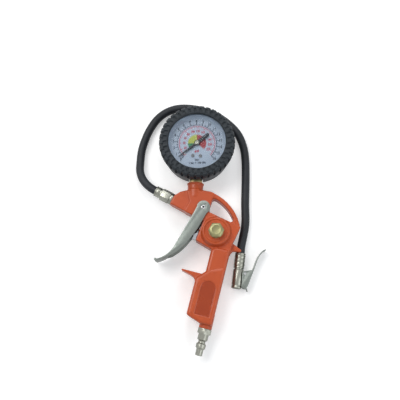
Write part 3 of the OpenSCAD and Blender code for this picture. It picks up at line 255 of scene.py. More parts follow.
def buildPaintGroup():
    # paint with slight orange peel, cloudy depth, rubbed edges and the ridge of the mould's parting line
    group, start, end = newGroup("sprayedPaint", [
        ("Paint", "NodeSocketColor", (0.7, 0.1, 0.03, 1)),
        ("Deep", "NodeSocketColor", (0.5, 0.06, 0.02, 1)),
        ("Rubbed", "NodeSocketColor", (0.75, 0.25, 0.13, 1)),
        ("Peel", "NodeSocketFloat", 900.0),
        ("Gloss", "NodeSocketFloat", 0.34),
        ("Ridge Level", "NodeSocketFloat", 0.013),
        ("Ridge", "NodeSocketFloat", 0.0),
    ], [("Colour", "NodeSocketColor"), ("Roughness", "NodeSocketFloat"), ("Height", "NodeSocketFloat")])
    place = addNode(group, "ShaderNodeTexCoord", (-900, -300)).outputs["Object"]
    cloud = noiseAt(group, place, paintLook["cloud"], (-700, 200))
    shade = mapRange(group, cloud, paintLook["shade"], (-500, 200))
    colour = mixColour(group, shade, start.outputs["Paint"], start.outputs["Deep"], (-300, 200))
    worn = edgeMask(group, (-900, 500))
    patchy = noiseAt(group, place, paintLook["patches"], (-700, 420))
    patchy = mapRange(group, patchy, paintLook["patchEdge"], (-500, 420))
    rub = mathNode(group, "MULTIPLY", (worn, patchy), (-300, 480))
    rub = mathNode(group, "MULTIPLY", (rub, paintLook["worn"]), (-120, 480))
    colour = mixColour(group, rub, colour, start.outputs["Rubbed"], (60, 260))
    peel = noiseAt(group, place, (start.outputs["Peel"], *paintLook["peel"]), (-700, -120))
    grit = noiseAt(group, place, paintLook["grit"], (-700, -300))
    low = mathNode(group, "MULTIPLY", (peel, 1 - paintLook["gritShare"]), (-400, -120))
    fine = mathNode(group, "MULTIPLY", (grit, paintLook["gritShare"]), (-400, -300))
    height = mathNode(group, "ADD", (low, fine), (-200, -200))
    split = addNode(group, "ShaderNodeSeparateXYZ", (-700, -480))
    group.links.new(place, split.inputs[0])
    off = mathNode(group, "SUBTRACT", (split.outputs["Z"], start.outputs["Ridge Level"]), (-520, -480))
    off = mathNode(group, "ABSOLUTE", (off,), (-360, -480))
    ridge = mapRange(group, off, paintLook["ridge"], (-200, -480))
    ridge = mathNode(group, "MULTIPLY", (ridge, start.outputs["Ridge"]), (0, -480))
    height = mathNode(group, "ADD", (height, ridge), (160, -260))
    rough = mapRange(group, cloud, paintLook["spread"], (-500, 20))
    rough = mathNode(group, "ADD", (rough, start.outputs["Gloss"]), (-300, 20))
    group.links.new(colour, end.inputs["Colour"])
    group.links.new(rough, end.inputs["Roughness"])
    group.links.new(height, end.inputs["Height"])
    return group


# the grain has no scale of its own, because each metal stretches it
metalLook = {
    "grain": (1, 4, 0.65), "spread": (0.3, 0.7, -0.07, 0.09), "cloud": (150, 5, 0.6),
    "stain": (0.45, 0.72, 0, 1), "dullness": 0.12, "relief": 0.15, "reliefDepth": 0.02,
}


def buildMetalGroup():
    # plated or bare metal with a drawn grain and a dull film in patches
    group, start, end = newGroup("handledMetal", [
        ("Metal", "NodeSocketColor", (0.6, 0.6, 0.58, 1)),
        ("Dull", "NodeSocketColor", (0.4, 0.4, 0.38, 1)),
        ("Grain", "NodeSocketVector", (300, 300, 3000)),
        ("Gloss", "NodeSocketFloat", 0.3),
        ("Stain", "NodeSocketFloat", 0.5),
    ], [("Colour", "NodeSocketColor"), ("Roughness", "NodeSocketFloat"), ("Height", "NodeSocketFloat")])
    place = addNode(group, "ShaderNodeTexCoord", (-900, -300)).outputs["Object"]
    stretch = addNode(group, "ShaderNodeVectorMath", (-720, -300), operation="MULTIPLY")
    group.links.new(place, stretch.inputs[0])
    group.links.new(start.outputs["Grain"], stretch.inputs[1])
    grain = noiseAt(group, stretch.outputs[0], metalLook["grain"], (-540, -300))
    cloud = noiseAt(group, place, metalLook["cloud"], (-540, 120))
    stain = mapRange(group, cloud, metalLook["stain"], (-360, 120))
    stain = mathNode(group, "MULTIPLY", (stain, start.outputs["Stain"]), (-180, 120))
    colour = mixColour(group, stain, start.outputs["Metal"], start.outputs["Dull"], (0, 200))
    spread = mapRange(group, grain, metalLook["spread"], (-360, -180))
    rough = mathNode(group, "ADD", (spread, start.outputs["Gloss"]), (-180, -120))
    lift = mathNode(group, "MULTIPLY", (stain, metalLook["dullness"]), (-180, 0))
    rough = mathNode(group, "ADD", (rough, lift), (0, -80))
    group.links.new(colour, end.inputs["Colour"])
    group.links.new(rough, end.inputs["Roughness"])
    group.links.new(grain, end.inputs["Height"])
    return group


rubberLook = {
    "cloud": (110, 5, 0.62), "haze": (0.4, 0.75, 0, 1), "edgeDust": 0.5,
    "grain": (3, 0.6), "dullness": (0.3, 0.7, 0.46, 0.62),
}


def buildRubberGroup():
    # moulded rubber with a fine grain, a pale bloom in patches and dust on its edges
    group, start, end = newGroup("mouldedRubber", [
        ("Rubber", "NodeSocketColor", (0.02, 0.02, 0.022, 1)),
        ("Bloom", "NodeSocketColor", (0.06, 0.06, 0.065, 1)),
        ("Grain", "NodeSocketFloat", 2600.0),
        ("Dust", "NodeSocketFloat", 0.5),
    ], [("Colour", "NodeSocketColor"), ("Roughness", "NodeSocketFloat"), ("Height", "NodeSocketFloat")])
    place = addNode(group, "ShaderNodeTexCoord", (-900, -300)).outputs["Object"]
    cloud = noiseAt(group, place, rubberLook["cloud"], (-700, 200))
    haze = mapRange(group, cloud, rubberLook["haze"], (-500, 200))
    haze = mathNode(group, "MULTIPLY", (haze, start.outputs["Dust"]), (-300, 200))
    edge = edgeMask(group, (-900, 480))
    edge = mathNode(group, "MULTIPLY", (edge, rubberLook["edgeDust"]), (-300, 420))
    haze = mathNode(group, "MAXIMUM", (haze, edge), (-120, 300))
    colour = mixColour(group, haze, start.outputs["Rubber"], start.outputs["Bloom"], (80, 220))
    grain = noiseAt(group, place, (start.outputs["Grain"], *rubberLook["grain"]), (-700, -160))
    rough = mapRange(group, grain, rubberLook["dullness"], (-400, -60))
    group.links.new(colour, end.inputs["Colour"])
    group.links.new(rough, end.inputs["Roughness"])
    group.links.new(grain, end.inputs["Height"])
    return group


inkLook = {
    "mottle": (700, 4, 0.6), "speckle": (0.3, 0.7, 0, 1), "spread": (0.3, 0.7, -0.04, 0.04), "darker": 0.6,
}


def buildInkGroup():
    # print and flat paint: one colour with a faint mottle
    group, start, end = newGroup("flatInk", [
        ("Ink", "NodeSocketColor", (0.02, 0.02, 0.02, 1)),
        ("Shade", "NodeSocketColor", (0.01, 0.01, 0.01, 1)),
        ("Gloss", "NodeSocketFloat", 0.5),
        ("Speckle", "NodeSocketFloat", 0.08),
    ], [("Colour", "NodeSocketColor"), ("Roughness", "NodeSocketFloat")])
    place = addNode(group, "ShaderNodeTexCoord", (-900, 0)).outputs["Object"]
    mottle = noiseAt(group, place, inkLook["mottle"], (-700, 0))
    speckle = mapRange(group, mottle, inkLook["speckle"], (-500, 0))
    speckle = mathNode(group, "MULTIPLY", (speckle, start.outputs["Speckle"]), (-300, 0))
    colour = mixColour(group, speckle, start.outputs["Ink"], start.outputs["Shade"], (0, 60))
    spread = mapRange(group, mottle, inkLook["spread"], (-500, -240))
    rough = mathNode(group, "ADD", (spread, start.outputs["Gloss"]), (-300, -240))
    group.links.new(colour, end.inputs["Colour"])
    group.links.new(rough, end.inputs["Roughness"])
    return group


paintGroup = buildPaintGroup()
metalGroup = buildMetalGroup()
rubberGroup = buildRubberGroup()
inkGroup = buildInkGroup()


def surface(name, group, values, bump=0, bumpSize=0, **principled):
    # a material whose colour, roughness and bump, its size in mm, come from a group; print has no bump
    material = bpy.data.materials.new(name)
    material.use_nodes = True
    tree = material.node_tree
    shader = tree.nodes["Principled BSDF"]
    finish = addNode(tree, "ShaderNodeGroup", (-500, 100))
    finish.node_tree = group
    for label, value in values.items():
        finish.inputs[label].default_value = value
    tree.links.new(finish.outputs["Colour"], shader.inputs["Base Color"])
    tree.links.new(finish.outputs["Roughness"], shader.inputs["Roughness"])
    if bump:
        relief = addNode(tree, "ShaderNodeBump", (-240, -200))
        relief.inputs["Strength"].default_value = bump
        relief.inputs["Distance"].default_value = bumpSize * mm
        tree.links.new(finish.outputs["Height"], relief.inputs["Height"])
        tree.links.new(relief.outputs["Normal"], shader.inputs["Normal"])
    for label, value in principled.items():
        shader.inputs[label.replace("_", " ")].default_value = value
    return material


def ink(name, colour, gloss, shine, speckle=0.08):
    shade = [inkLook["darker"] * c for c in colour]
    return surface(name, inkGroup, {
        "Ink": (*colour, 1), "Shade": (*shade, 1), "Gloss": gloss, "Speckle": speckle},
        Specular_IOR_Level=shine)


def metal(name, colour, dull, gloss, grain, stain):
    return surface(name, metalGroup, {
        "Metal": (*colour, 1), "Dull": (*dull, 1), "Gloss": gloss, "Grain": grain, "Stain": stain},
        bump=metalLook["relief"], bumpSize=metalLook["reliefDepth"], Metallic=1.0)


orangePaint = surface("orangePaint", paintGroup, {
    "Paint": (0.520, 0.086, 0.023, 1), "Deep": (0.440, 0.064, 0.017, 1), "Rubbed": (0.72, 0.20, 0.08, 1),
    "Peel": 900.0, "Gloss": 0.36, "Ridge": 2.2}, bump=0.25, bumpSize=0.05,
    Coat_Weight=0.10, Coat_Roughness=0.22, Specular_IOR_Level=0.32)
# the same orange made deeper for the floor of the grip's sunk panel: painted shade of the recess
shadedPanelPaint = surface("shadedPanelPaint", paintGroup, {
    "Paint": (0.370, 0.050, 0.010, 1), "Deep": (0.300, 0.037, 0.008, 1), "Rubbed": (0.58, 0.12, 0.04, 1),
    "Peel": 1500.0, "Gloss": 0.30}, bump=0.30, bumpSize=0.04,
    Coat_Weight=0.10, Coat_Roughness=0.18, Specular_IOR_Level=0.30)
# the lever's nickel and the plated nickel are darkened well below bright nickel: painted dark reflection
# of dark surroundings
leverNickel = metal("leverNickel", (0.185, 0.205, 0.19), (0.13, 0.145, 0.135), 0.42, (900, 900, 900), 0.45)
nickelPlate = metal("nickelPlate", (0.27, 0.275, 0.24), (0.16, 0.162, 0.14), 0.32, (500, 500, 500), 0.55)
brightPlate = metal("brightPlate", (0.42, 0.44, 0.47), (0.28, 0.29, 0.31), 0.24, (500, 500, 500), 0.3)
springWire = metal("springWire", (0.48, 0.49, 0.50), (0.28, 0.28, 0.28), 0.26, (900, 900, 900), 0.4)
screwSteel = metal("screwSteel", (0.13, 0.14, 0.15), (0.06, 0.06, 0.07), 0.34, (900, 900, 900), 0.4)
# a lighter copy of the plug's brass for the gauge socket: painted light that makes up for the shade it
# sits in
litSocketBrass = metal("litSocketBrass", (0.42, 0.36, 0.17), (0.26, 0.25, 0.13), 0.34, (400, 400, 400), 0.7)
# the plug's brass is darkened in the same way: painted dark reflection of dark surroundings
plugBrass = metal("plugBrass", (0.25, 0.24, 0.125), (0.16, 0.16, 0.09), 0.36, (400, 400, 400), 0.7)
workBrass = metal("workBrass", (0.66, 0.50, 0.20), (0.45, 0.33, 0.13), 0.28, (700, 700, 200), 0.35)
tubeBronze = metal("tubeBronze", (0.62, 0.38, 0.15), (0.42, 0.24, 0.10), 0.26, (500, 500, 500), 0.4)
softCopper = metal("softCopper", (0.62, 0.30, 0.16), (0.40, 0.19, 0.11), 0.38, (500, 500, 500), 0.5)
caseSteel = surface("caseSteel", paintGroup, {
    "Paint": (0.018, 0.018, 0.020, 1), "Deep": (0.010, 0.010, 0.011, 1),
    "Rubbed": (0.035, 0.035, 0.038, 1), "Peel": 1400.0, "Gloss": 0.42},
    bump=0.15, bumpSize=0.03, Specular_IOR_Level=0.25)
bootRubber = surface("bootRubber", rubberGroup, {
    "Rubber": (0.014, 0.019, 0.024, 1), "Bloom": (0.030, 0.038, 0.046, 1), "Grain": 2600.0, "Dust": 0.55},
    bump=0.30, bumpSize=0.04, Specular_IOR_Level=0.28)
hoseRubber = surface("hoseRubber", rubberGroup, {
    "Rubber": (0.012, 0.014, 0.018, 1), "Bloom": (0.026, 0.030, 0.037, 1), "Grain": 1500.0, "Dust": 0.5},
    bump=0.25, bumpSize=0.04, Specular_IOR_Level=0.30)
sealRubber = surface("sealRubber", rubberGroup, {
    "Rubber": (0.012, 0.012, 0.013, 1), "Bloom": (0.03, 0.03, 0.03, 1), "Grain": 3000.0, "Dust": 0.2},
    bump=0.2, bumpSize=0.03)
# the white dial is given a dim bluish grey: painted blue cast and dimming of the light that falls on it
dialWhite = ink("dialWhite", (0.32, 0.39, 0.48), 0.45, 0.3, speckle=0.05)
printBlack = ink("printBlack", (0.020, 0.030, 0.050), 0.5, 0.2)
printRed = ink("printRed", (0.40, 0.045, 0.075), 0.5, 0.2)
printGreen = ink("printGreen", (0.035, 0.19, 0.10), 0.5, 0.3)
printLime = ink("printLime", (0.34, 0.39, 0.08), 0.5, 0.3)
printSignal = ink("printSignal", (0.29, 0.045, 0.055), 0.5, 0.3)
pointerBlack = ink("pointerBlack", (0.018, 0.022, 0.030), 0.42, 0.3)

glass = {
    "tint": (0.95, 0.97, 1.0, 1), "clear": 1.0, "bending": 1.46, "film": 0.22,
    "smears": (90, 5, 0.6), "dullness": (0.4, 0.75, 0.015, 0.07),
}


def buildGlass():
    material = bpy.data.materials.new("clearWindow")
    material.use_nodes = True
    tree = material.node_tree
    shader = tree.nodes["Principled BSDF"]
    shader.inputs["Base Color"].default_value = glass["tint"]
    shader.inputs["Transmission Weight"].default_value = glass["clear"]
    shader.inputs["IOR"].default_value = glass["bending"]
    shader.inputs["Alpha"].default_value = glass["film"]
    place = addNode(tree, "ShaderNodeTexCoord", (-900, 0)).outputs["Object"]
    smear = noiseAt(tree, place, glass["smears"], (-700, 0))
    rough = mapRange(tree, smear, glass["dullness"], (-500, 0))
    tree.links.new(rough, shader.inputs["Roughness"])
    return material


clearWindow = buildGlass()
print("materials ready:", len(bpy.data.materials))

camera = {
    "target": (0.00328, 0.02721, 0.013), "place": (0.00328, -0.09085, 0.48650), "lens": 43.92,
    "sensor": 36, "near": 0.01, "far": 20,
}


def makeCamera():
    bpy.context.scene.view_settings.view_transform = "Standard"
    data = bpy.data.cameras.new("benchCamera")
    data.lens = camera["lens"]
    data.sensor_width = camera["sensor"]
    data.clip_start = camera["near"]
    data.clip_end = camera["far"]
    viewer = bpy.data.objects.new("benchCamera", data)
    bpy.context.collection.objects.link(viewer)
    viewer.location = camera["place"]
    sight = Vector(camera["target"]) - Vector(camera["place"])
    viewer.rotation_euler = sight.to_track_quat("-Z", "Y").to_euler()
    bpy.context.scene.camera = viewer


# the lamps look at the middle of the part
lampAim = (0, 0.02, 0)
lamps = [
    {"name": "keyLamp", "place": (-0.55, 0.35, 0.95), "size": 0.55, "power": 6.2,
     "tint": (1.0, 0.99, 0.97)},
    {"name": "fillLamp", "place": (0.75, -0.35, 0.70), "size": 0.70, "power": 3.1,
     "tint": (0.95, 0.98, 1.0)},
    {"name": "topLamp", "place": (0.05, 0.75, 0.75), "size": 0.50, "power": 2.7,
     "tint": (1.0, 1.0, 1.0)},
]


def makeLamps():
    for lamp in lamps:
        data = bpy.data.lights.new(lamp["name"], "AREA")
        data.shape = "SQUARE"
        data.size = lamp["size"]
        data.energy = lamp["power"]
        data.color = lamp["tint"]
        holder = bpy.data.objects.new(lamp["name"], data)
        bpy.context.collection.objects.link(holder)
        holder.location = lamp["place"]
        sight = Vector(lampAim) - holder.location
        holder.rotation_euler = sight.to_track_quat("-Z", "Y").to_euler()


# what is seen behind the part is white, and what lights it is dimmer
studio = {"seen": (1, 1, 1, 1), "seenStrength": 1.0, "lit": (0.92, 0.95, 1.0, 1), "litStrength": 0.30}


def seenRays(tree, place):
    # 1 for what the camera sees, directly, in metal or through glass
    rays = addNode(tree, "ShaderNodeLightPath", place).outputs
    x, y = place
    seen = mathNode(tree, "MAXIMUM", (rays["Is Camera Ray"], rays["Is Glossy Ray"]), (x + 200, y))
    return mathNode(tree, "MAXIMUM", (seen, rays["Is Transmission Ray"]), (x + 380, y))


def makeWorld():
    world = bpy.data.worlds.new("studio")
    bpy.context.scene.world = world
    world.use_nodes = True
    tree = world.node_tree
    tree.nodes.clear()
    end = addNode(tree, "ShaderNodeOutputWorld", (400, 0))
    seen = addNode(tree, "ShaderNodeBackground", (0, 120))
    seen.inputs["Color"].default_value = studio["seen"]
    seen.inputs["Strength"].default_value = studio["seenStrength"]
    lit = addNode(tree, "ShaderNodeBackground", (0, -60))
    lit.inputs["Color"].default_value = studio["lit"]
    lit.inputs["Strength"].default_value = studio["litStrength"]
    mix = addNode(tree, "ShaderNodeMixShader", (200, 0))
    tree.links.new(seenRays(tree, (-600, 200)), mix.inputs[0])
    tree.links.new(lit.outputs[0], mix.inputs[1])
    tree.links.new(seen.outputs[0], mix.inputs[2])
    tree.links.new(mix.outputs[0], end.inputs["Surface"])


# the lamps reach about 0.35 m, and further out the floor's own glow grows to white
floor = {
    "size": 6, "level": -0.0002, "colour": (0.80, 0.80, 0.80, 1), "roughness": 0.8,
    "glow": (1, 1, 1, 1), "glowByReach": (0.35, 1.1, 0.40, 1),
}


def makeFloor():
    bpy.ops.mesh.primitive_plane_add(size=floor["size"], location=(0, 0, floor["level"]))
    piece = bpy.context.object
    piece.name = "floor"
    applyAll(piece)
    material = bpy.data.materials.new("paleFloor")
    material.use_nodes = True
    tree = material.node_tree
    shader = tree.nodes["Principled BSDF"]
    shader.inputs["Base Color"].default_value = floor["colour"]
    shader.inputs["Roughness"].default_value = floor["roughness"]
    shader.inputs["Emission Color"].default_value = floor["glow"]
    place = addNode(tree, "ShaderNodeTexCoord", (-1100, -500)).outputs["Object"]
    reach = addNode(tree, "ShaderNodeVectorMath", (-900, -500), operation="LENGTH")
    tree.links.new(place, reach.inputs[0])
    glow = mapRange(tree, reach.outputs["Value"], floor["glowByReach"], (-700, -500))
    seen = mathNode(tree, "MULTIPLY", (seenRays(tree, (-900, -200)), glow), (-300, -200))
    tree.links.new(seen, shader.inputs["Emission Strength"])
    piece.data.materials.append(material)


makeCamera()
makeLamps()
makeWorld()
clearSelection()
makeFloor()
print("camera, lamps and floor ready")

# in mm; the tube is drawn a little thinner than the hose, so that it stays inside the part's own box
hose = {
    "diameter": 8.5,
    "drawn": 8.29,
    "length": 319.8,
    "stepsPerPoint": 10,
    "roundness": 8,
    "route": [(-40.875, 36.528, 13), (-43.082, 37.702, 13), (-47.48, 40.79, 12.51),
              (-52.10, 45.45, 11.38), (-55.94, 51.71, 9.67), (-58.19, 59.55, 7.59),
              (-58.42, 69.82, 5.17), (-57.35, 82.75, 4.36), (-54.11, 94.42, 4.60),
              (-49.55, 105.64, 4.45), (-42.294, 116.992, 4.35), (-32.556, 125.293, 4.35),
              (-20.470, 129.660, 4.35), (-7.013, 129.800, 4.35), (7.004, 127.043, 4.35),
              (21.116, 121.206, 4.35), (33.516, 112.006, 4.35), (43.289, 100.461, 4.35),
              (48.576, 86.479, 4.35), (50.388, 71.964, 4.35), (50.178, 50.514, 4.35),
              (49.178, 25.514, 4.35), (48.678, 3.514, 4.45), (44.336, -17.556, 5.3),
              (43.674, -22.512, 5.3), (43.278, -25.486, 5.3)],
}


def makeHose():
    points = [Vector(p) * mm for p in hose["route"]]
    data = bpy.data.curves.new("airHose", "CURVE")
    data.dimensions = "3D"
    data.resolution_u = hose["stepsPerPoint"]
    data.bevel_depth = hose["drawn"] / 2 * mm
    data.bevel_resolution = hose["roundness"]
    data.use_fill_caps = True
    line = data.splines.new("BEZIER")
    line.bezier_points.add(len(points) - 1)
    # each handle runs along the line between its two neighbours, a sixth of it long
    for index, knot in enumerate(line.bezier_points):
        before = points[max(index - 1, 0)]
        after = points[min(index + 1, len(points) - 1)]
        knot.co = points[index]
        knot.handle_left = points[index] - (after - before) / 6
        knot.handle_right = points[index] + (after - before) / 6
    piece = bpy.data.objects.new("airHose", data)
    bpy.context.collection.objects.link(piece)
    data.materials.append(hoseRubber)
    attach(piece, "gun")
    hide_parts("hose")
    dressNode("hose", hoseRubber)


# a bevel takes edges sharper than "sharperThan", after faces flat within "flatWithin" are made one
edges = {"segments": 2, "sharperThan": 32, "flatWithin": 1.0, "shortest": 0.05}
# the crimped pieces keep their short edges, which their dimples are made of
crimped = ["ferrule_gun", "ferrule_chuck"]
# pieces kept as turned, milled or pressed, with their sharp edges broken
edgeWork = [
    # node, piece, edge in mm, finish, body, slot
    ("lever", "triggerLever", 0.35, leverNickel, "lever", "sheet_steel"),
    ("lever_pin", "leverPin", 0.18, springWire, "gun", "sheet_steel"),
    ("valve_bush", "valveBush", 0.25, brightPlate, "gun", "plated_steel"),
    ("brass_plug", "brassPlug", 0.22, plugBrass, "gun", "brass"),
    ("inlet_nipple", "inletNipple", 0.25, nickelPlate, "gun", "plated_steel"),
    ("hose_fitting", "hoseFitting", 0.22, nickelPlate, "gun", "plated_steel"),
    ("ferrule_gun", "ferruleAtGun", 0.22, nickelPlate, "gun", "sheet_steel"),
    ("ferrule_chuck", "ferruleAtChuck", 0.22, nickelPlate, "gun", "plated_steel"),
    ("chuck_body", "chuckBody", 0.22, nickelPlate, "gun", "plated_steel"),
    ("chuck_clip", "chuckClip", 0.22, leverNickel, "clip", "sheet_steel"),
    ("gauge_bezel", "gaugeBezel", 0.25, caseSteel, "gun", "case_steel"),
    ("gauge_pointer", "gaugePointer", 0.10, pointerBlack, "pointer", "pointer_black"),
    ("pointer_hub", "pointerHub", 0.15, nickelPlate, "pointer", "plated_steel"),
    ("dial_screws", "dialScrews", 0.12, screwSteel, "gun", "spring_steel"),
    # the gauge socket takes the lighter brass, painted light against the shade it sits in
    ("gauge_socket", "gaugeSocket", 0.25, litSocketBrass, "gun", "brass"),
]


def softEdges(piece, width, keepShort):
    # edges too short for a bevel collapse first, and the rest are rounded
    pick(piece)
    bpy.ops.object.mode_set(mode="EDIT")
    bpy.ops.mesh.select_all(action="SELECT")
    bpy.ops.mesh.dissolve_limited(angle_limit=math.radians(edges["flatWithin"]))
    if not keepShort:
        bpy.ops.mesh.select_all(action="SELECT")
        bpy.ops.mesh.dissolve_degenerate(threshold=edges["shortest"] * mm)
    bpy.ops.object.mode_set(mode="OBJECT")
    bevel = piece.modifiers.new("edges", "BEVEL")
    bevel.width = width * mm
    bevel.segments = edges["segments"]
    bevel.limit_method = "ANGLE"
    bevel.angle_limit = math.radians(edges["sharperThan"])
    bevel.use_clamp_overlap = True
    bevel.miter_outer = "MITER_ARC"
    applyAll(piece)
    cleanMesh(piece)
    bpy.ops.object.shade_smooth_by_angle(angle=math.radians(meshCare["smoothUnder"]))


def makeEdgedPieces():
    for node, name, width, finish, body, slot in edgeWork:
        piece = copyOfNode(node, name)
        softEdges(piece, width, keepShort=node in crimped)
        dress(piece, finish, body, slot, node)


makeEdgedPieces()
print("edged pieces made:", len(edgeWork))
makeHose()
print("hose laid")

castBody = {
    "voxel": 0.42, "softness": 0.5, "smoothing": 6, "keep": 0.55,
    # the grip's sunk panel, in mm from the boss along and across the handle
    "boss": (18.678, -6.486), "lean": 14.5, "panelMiddle": 6.1, "panelWidth": 14.6,
    "panelTop": -47.3, "panelBottom": -80.3, "panelFloor": 23.15,
    # how far from the panel's outline and floor a face may be, and how much it looks up
    "edgePlay": 0.1, "floorPlay": 0.22, "facingUp": 0.8,
}


def inPanel(place, normal):
    # floor of the sunk panel: straight sides, round at the top
    turned = Matrix.Rotation(math.radians(castBody["lean"]), 2) @ (
        place.to_2d() / mm - Vector(castBody["boss"]))
    across = turned.x - castBody["panelMiddle"]
    half = castBody["panelWidth"] / 2
    arch = castBody["panelTop"] - half
    height = place.z / mm - castBody["panelFloor"]
    if abs(height) > castBody["floorPlay"] or normal.z < castBody["facingUp"]:
        return False
    if turned.y < castBody["panelBottom"] - castBody["edgePlay"]:
        return False
    if turned.y > arch:
        return across ** 2 + (turned.y - arch) ** 2 < (half + castBody["edgePlay"]) ** 2
    return abs(across) < half + castBody["edgePlay"]


def makeCastBody():
    piece = moulded(copyOfNode("casting", "castBody"), castBody)
    dress(piece, orangePaint, "gun", "body_paint", "casting")
    # the floor of the sunk panel takes the deeper orange, painted shade of the recess
    piece.data.materials.append(shadedPanelPaint)
    selectFaces(piece, inPanel)
    piece.active_material_index = 1
    bpy.ops.object.material_slot_assign()
    bpy.ops.object.mode_set(mode="OBJECT")


makeCastBody()
print("cast body made")

# the floor of its grooves is given by its radii from the dial's centre
boot = {
    "voxel": 0.40, "softness": 0.5, "smoothing": 3, "keep": 0.5,
    "floorLevel": 32.95, "floorHeight": 0.5, "floorInner": 28.8, "floorOuter": 36.0, "floorCorners": 144,
}


def grooveFloor():
    # a flat ring that closes the tread's grooves where they run over the bezel
    middle = Vector((*dialCentre, boot["floorLevel"])) * mm
    piece = flatRing(boot["floorOuter"], boot["floorInner"], boot["floorCorners"], middle)
    bpy.ops.object.mode_set(mode="EDIT")
    bpy.ops.mesh.select_all(action="SELECT")
    bpy.ops.mesh.extrude_region_move(TRANSFORM_OT_translate={"value": (0, 0, boot["floorHeight"] * mm)})
    bpy.ops.mesh.select_all(action="SELECT")
    bpy.ops.mesh.normals_make_consistent(inside=False)
    bpy.ops.object.mode_set(mode="OBJECT")
    return piece


def makeBoot():
    # moulded rubber: every edge of the tread and lip is rounded
    piece = joined([copyOfNode("gauge_boot", "rubberBoot"), grooveFloor()], "rubberBoot")
    applyAll(piece)
    dress(moulded(piece, boot), bootRubber, "gun", "black_rubber", "gauge_boot")


makeBoot()
print("rubber boot made")


def makeReturnSpring():
    # a copy of the spring, shaded smooth and dressed, with a mesh of its own
    piece = copyOfNode("valve_spring", "returnSpring")
    bpy.ops.object.shade_smooth()
    dress(piece, springWire, "gun", "spring_steel", "valve_spring")
    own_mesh(piece)


def makeBourdonTube():
    # a copy of the tube, shaded smooth, whose place is baked into its mesh
    piece = copyOfNode("bourdon_tube", "bourdonTube")
    bpy.ops.object.shade_smooth_by_angle(angle=math.radians(meshCare["smoothUnder"]))
    piece.data.materials.append(tubeBronze)
    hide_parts("bourdon_tube")
    dressNode("bourdon_tube", tubeBronze)
    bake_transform(piece)


makeReturnSpring()
makeBourdonTube()
print("spring and tube made")

# the print is turned a little against the gauge's own lean, and its layers lie just over the dial's face
dial = {
    "face": 25.8, "lean": -2.2, "printTurn": 3.7, "fanLift": 0.03, "lineLift": 0.05,
    "inkThickness": 0.02, "boldness": 0.13, "fontScale": 1.38, "fontSteps": 3, "ringCorners": 216,
    "fan": [("Green", 180, 225), ("Lime", 90, 180), ("Signal", -45, 90)],
    "fanOuter": 9.2, "fanInner": 1.75,
}
# both scales start and end at the same angles, in degrees; "perWhole" steps lie between two long marks,
# and an inward scale has its marks inside its line
scales = {"start": 225, "sweep": 270, "lineWidth": 0.52}
barScale = {
    "top": 16, "step": 0.5, "perWhole": 2, "line": 19.5, "tick": 2.5, "halfTick": 1.5,
    "tickWidth": 0.75, "halfTickWidth": 0.48, "inward": 0, "wordLift": 0.05,
    "numbered": range(0, 17), "numbers": 23.5, "size": 2.9, "squeeze": 0.85,
    "words": [("bar", -0.5, -17.4, 2.4), ("1 bar = 100 kPa", -0.5, -20.7, 1.9)],
}
psiScale = {
    "top": 232, "step": 5, "perWhole": 4, "line": 18.0, "tick": 2.2, "halfTick": 1.2,
    "tickWidth": 0.58, "halfTickWidth": 0.36, "inward": 1, "wordLift": 0.09,
    "numbered": range(20, 221, 20), "numbers": 12.9, "size": 2.5, "squeeze": 0.8,
    "words": [("psi", -0.5, -8.2, 2.8)],
}


def onDial(x, y, lift, turn=0):
    # a place on the dial, in mm from its centre, turned about its axis
    return (Matrix.Translation(Vector((*dialCentre, dial["face"] + lift)) * mm)
            @ Matrix.Rotation(math.radians(dial["lean"] + dial["printTurn"]), 4, "Z")
            @ Matrix.Translation(Vector((x, y, 0)) * mm) @ Matrix.Rotation(math.radians(turn), 4, "Z"))


def polar(radius, angle):
    return radius * math.cos(math.radians(angle)), radius * math.sin(math.radians(angle))


def flatArc(outer, inner, fromAngle, toAngle, lift):
    # the part of a ring that is outside its two angles is cut away
    piece = flatRing(outer, inner, dial["ringCorners"], (0, 0, 0))

    def outside(place, normal):
        angle = math.degrees(math.atan2(place.y, place.x))
        while angle < fromAngle:
            angle += 360
        return angle > toAngle

    selectFaces(piece, outside)
    bpy.ops.mesh.delete(type="FACE")
    bpy.ops.mesh.select_all(action="SELECT")
    bpy.ops.mesh.normals_make_consistent(inside=False)
    bpy.ops.object.mode_set(mode="OBJECT")
    if piece.data.polygons[0].normal.z < 0:
        piece.data.flip_normals()
    piece.matrix_world = onDial(0, 0, lift)
    applyAll(piece)
    return piece


def tickMarks(marks, lift):
    # one mark is drawn and the rest are copies of it, each with its own mesh
    bpy.ops.mesh.primitive_plane_add(size=1, location=(0, 0, 0))
    first = bpy.context.object
    made = []
    for radius, angle, length, width in marks:
        mark = bpy.data.objects.new("mark", first.data.copy())
        bpy.context.collection.objects.link(mark)
        mark.matrix_world = (onDial(*polar(radius + length / 2, angle), lift, angle)
                             @ Matrix.Diagonal((length * mm, width * mm, 1, 1)))
        made.append(mark)
    bpy.data.objects.remove(first)
    piece = joined(made, "marks")
    applyAll(piece)
    return piece


def lettering(words, x, y, size, lift, squeeze=1.0):
    bpy.ops.object.text_add(location=(0, 0, 0))
    piece = bpy.context.object
    piece.data.body = words
    piece.data.size = size * dial["fontScale"] * mm
    piece.data.align_x = "CENTER"
    piece.data.align_y = "CENTER"
    piece.data.resolution_u = dial["fontSteps"]
    piece.data.offset = dial["boldness"] * mm
    pick(piece)
    bpy.ops.object.convert(target="MESH")
    piece = bpy.context.object
    piece.matrix_world = onDial(x, y, lift) @ Matrix.Diagonal((squeeze, 1, 1, 1))
    applyAll(piece)
    return piece


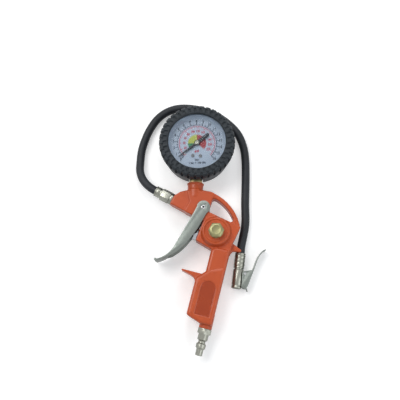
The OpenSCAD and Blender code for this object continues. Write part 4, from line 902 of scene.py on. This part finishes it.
def drawScale(scale):
    # one scale's line, its marks, its numbers and its words
    def angleOf(value):
        return scales["start"] - scales["sweep"] * value / scale["top"]

    half = scales["lineWidth"] / 2
    parts = [flatArc(scale["line"] + half, scale["line"] - half, angleOf(scale["top"]), scales["start"],
                     dial["lineLift"])]
    marks = []
    for count in range(int(scale["top"] / scale["step"]) + 1):
        whole = count % scale["perWhole"] == 0
        length = scale["tick"] if whole else scale["halfTick"]
        width = scale["tickWidth"] if whole else scale["halfTickWidth"]
        foot = scale["line"] - length * scale["inward"]
        marks.append((foot, angleOf(count * scale["step"]), length, width))
    parts.append(tickMarks(marks, dial["lineLift"]))
    for value in scale["numbered"]:
        place = polar(scale["numbers"], angleOf(value))
        parts.append(lettering(str(value), *place, scale["size"], scale["wordLift"], scale["squeeze"]))
    for words, x, y, size in scale["words"]:
        parts.append(lettering(words, x, y, size, scale["wordLift"]))
    return parts


def makeDialPrint():
    inks = {"Black": (drawScale(barScale), printBlack), "Red": (drawScale(psiScale), printRed)}
    colours = {"Green": printGreen, "Lime": printLime, "Signal": printSignal}
    for label, fromAngle, toAngle in dial["fan"]:
        field = flatArc(dial["fanOuter"], dial["fanInner"], fromAngle, toAngle, dial["fanLift"])
        inks[label] = ([field], colours[label])
    for label, (parts, printed) in inks.items():
        piece = joined(parts, "dialPrint" + label)
        layer = piece.modifiers.new("layer", "SOLIDIFY")
        layer.thickness = dial["inkThickness"] * mm
        layer.offset = -1
        applyAll(piece)
        dress(piece, printed, "gun", "dial_print")


makeDialPrint()
print("dial printed")

# nodes that keep their own mesh
finishes = {
    "valve_stem": brightPlate, "valve_rubber": sealRubber, "valve_seat": workBrass,
    "plug_washer": softCopper, "chuck_pin": springWire, "chuck_spring": springWire,
    "chuck_seal": sealRubber, "chuck_depressor": workBrass, "gauge_case": caseSteel,
    "gauge_window": clearWindow, "gauge_dial": dialWhite, "pinion_arbor": springWire,
    "socket_washer": softCopper, "tube_tip": workBrass, "drive_link": workBrass, "sector_gear": workBrass,
    "movement_plates": workBrass, "movement_pillars": workBrass, "movement_screws": springWire,
    "hairspring": springWire, "case_screws": springWire, "stop_pin": springWire,
}
for node, material in finishes.items():
    dressNode(node, material)
print("finishes given:", len(finishes))
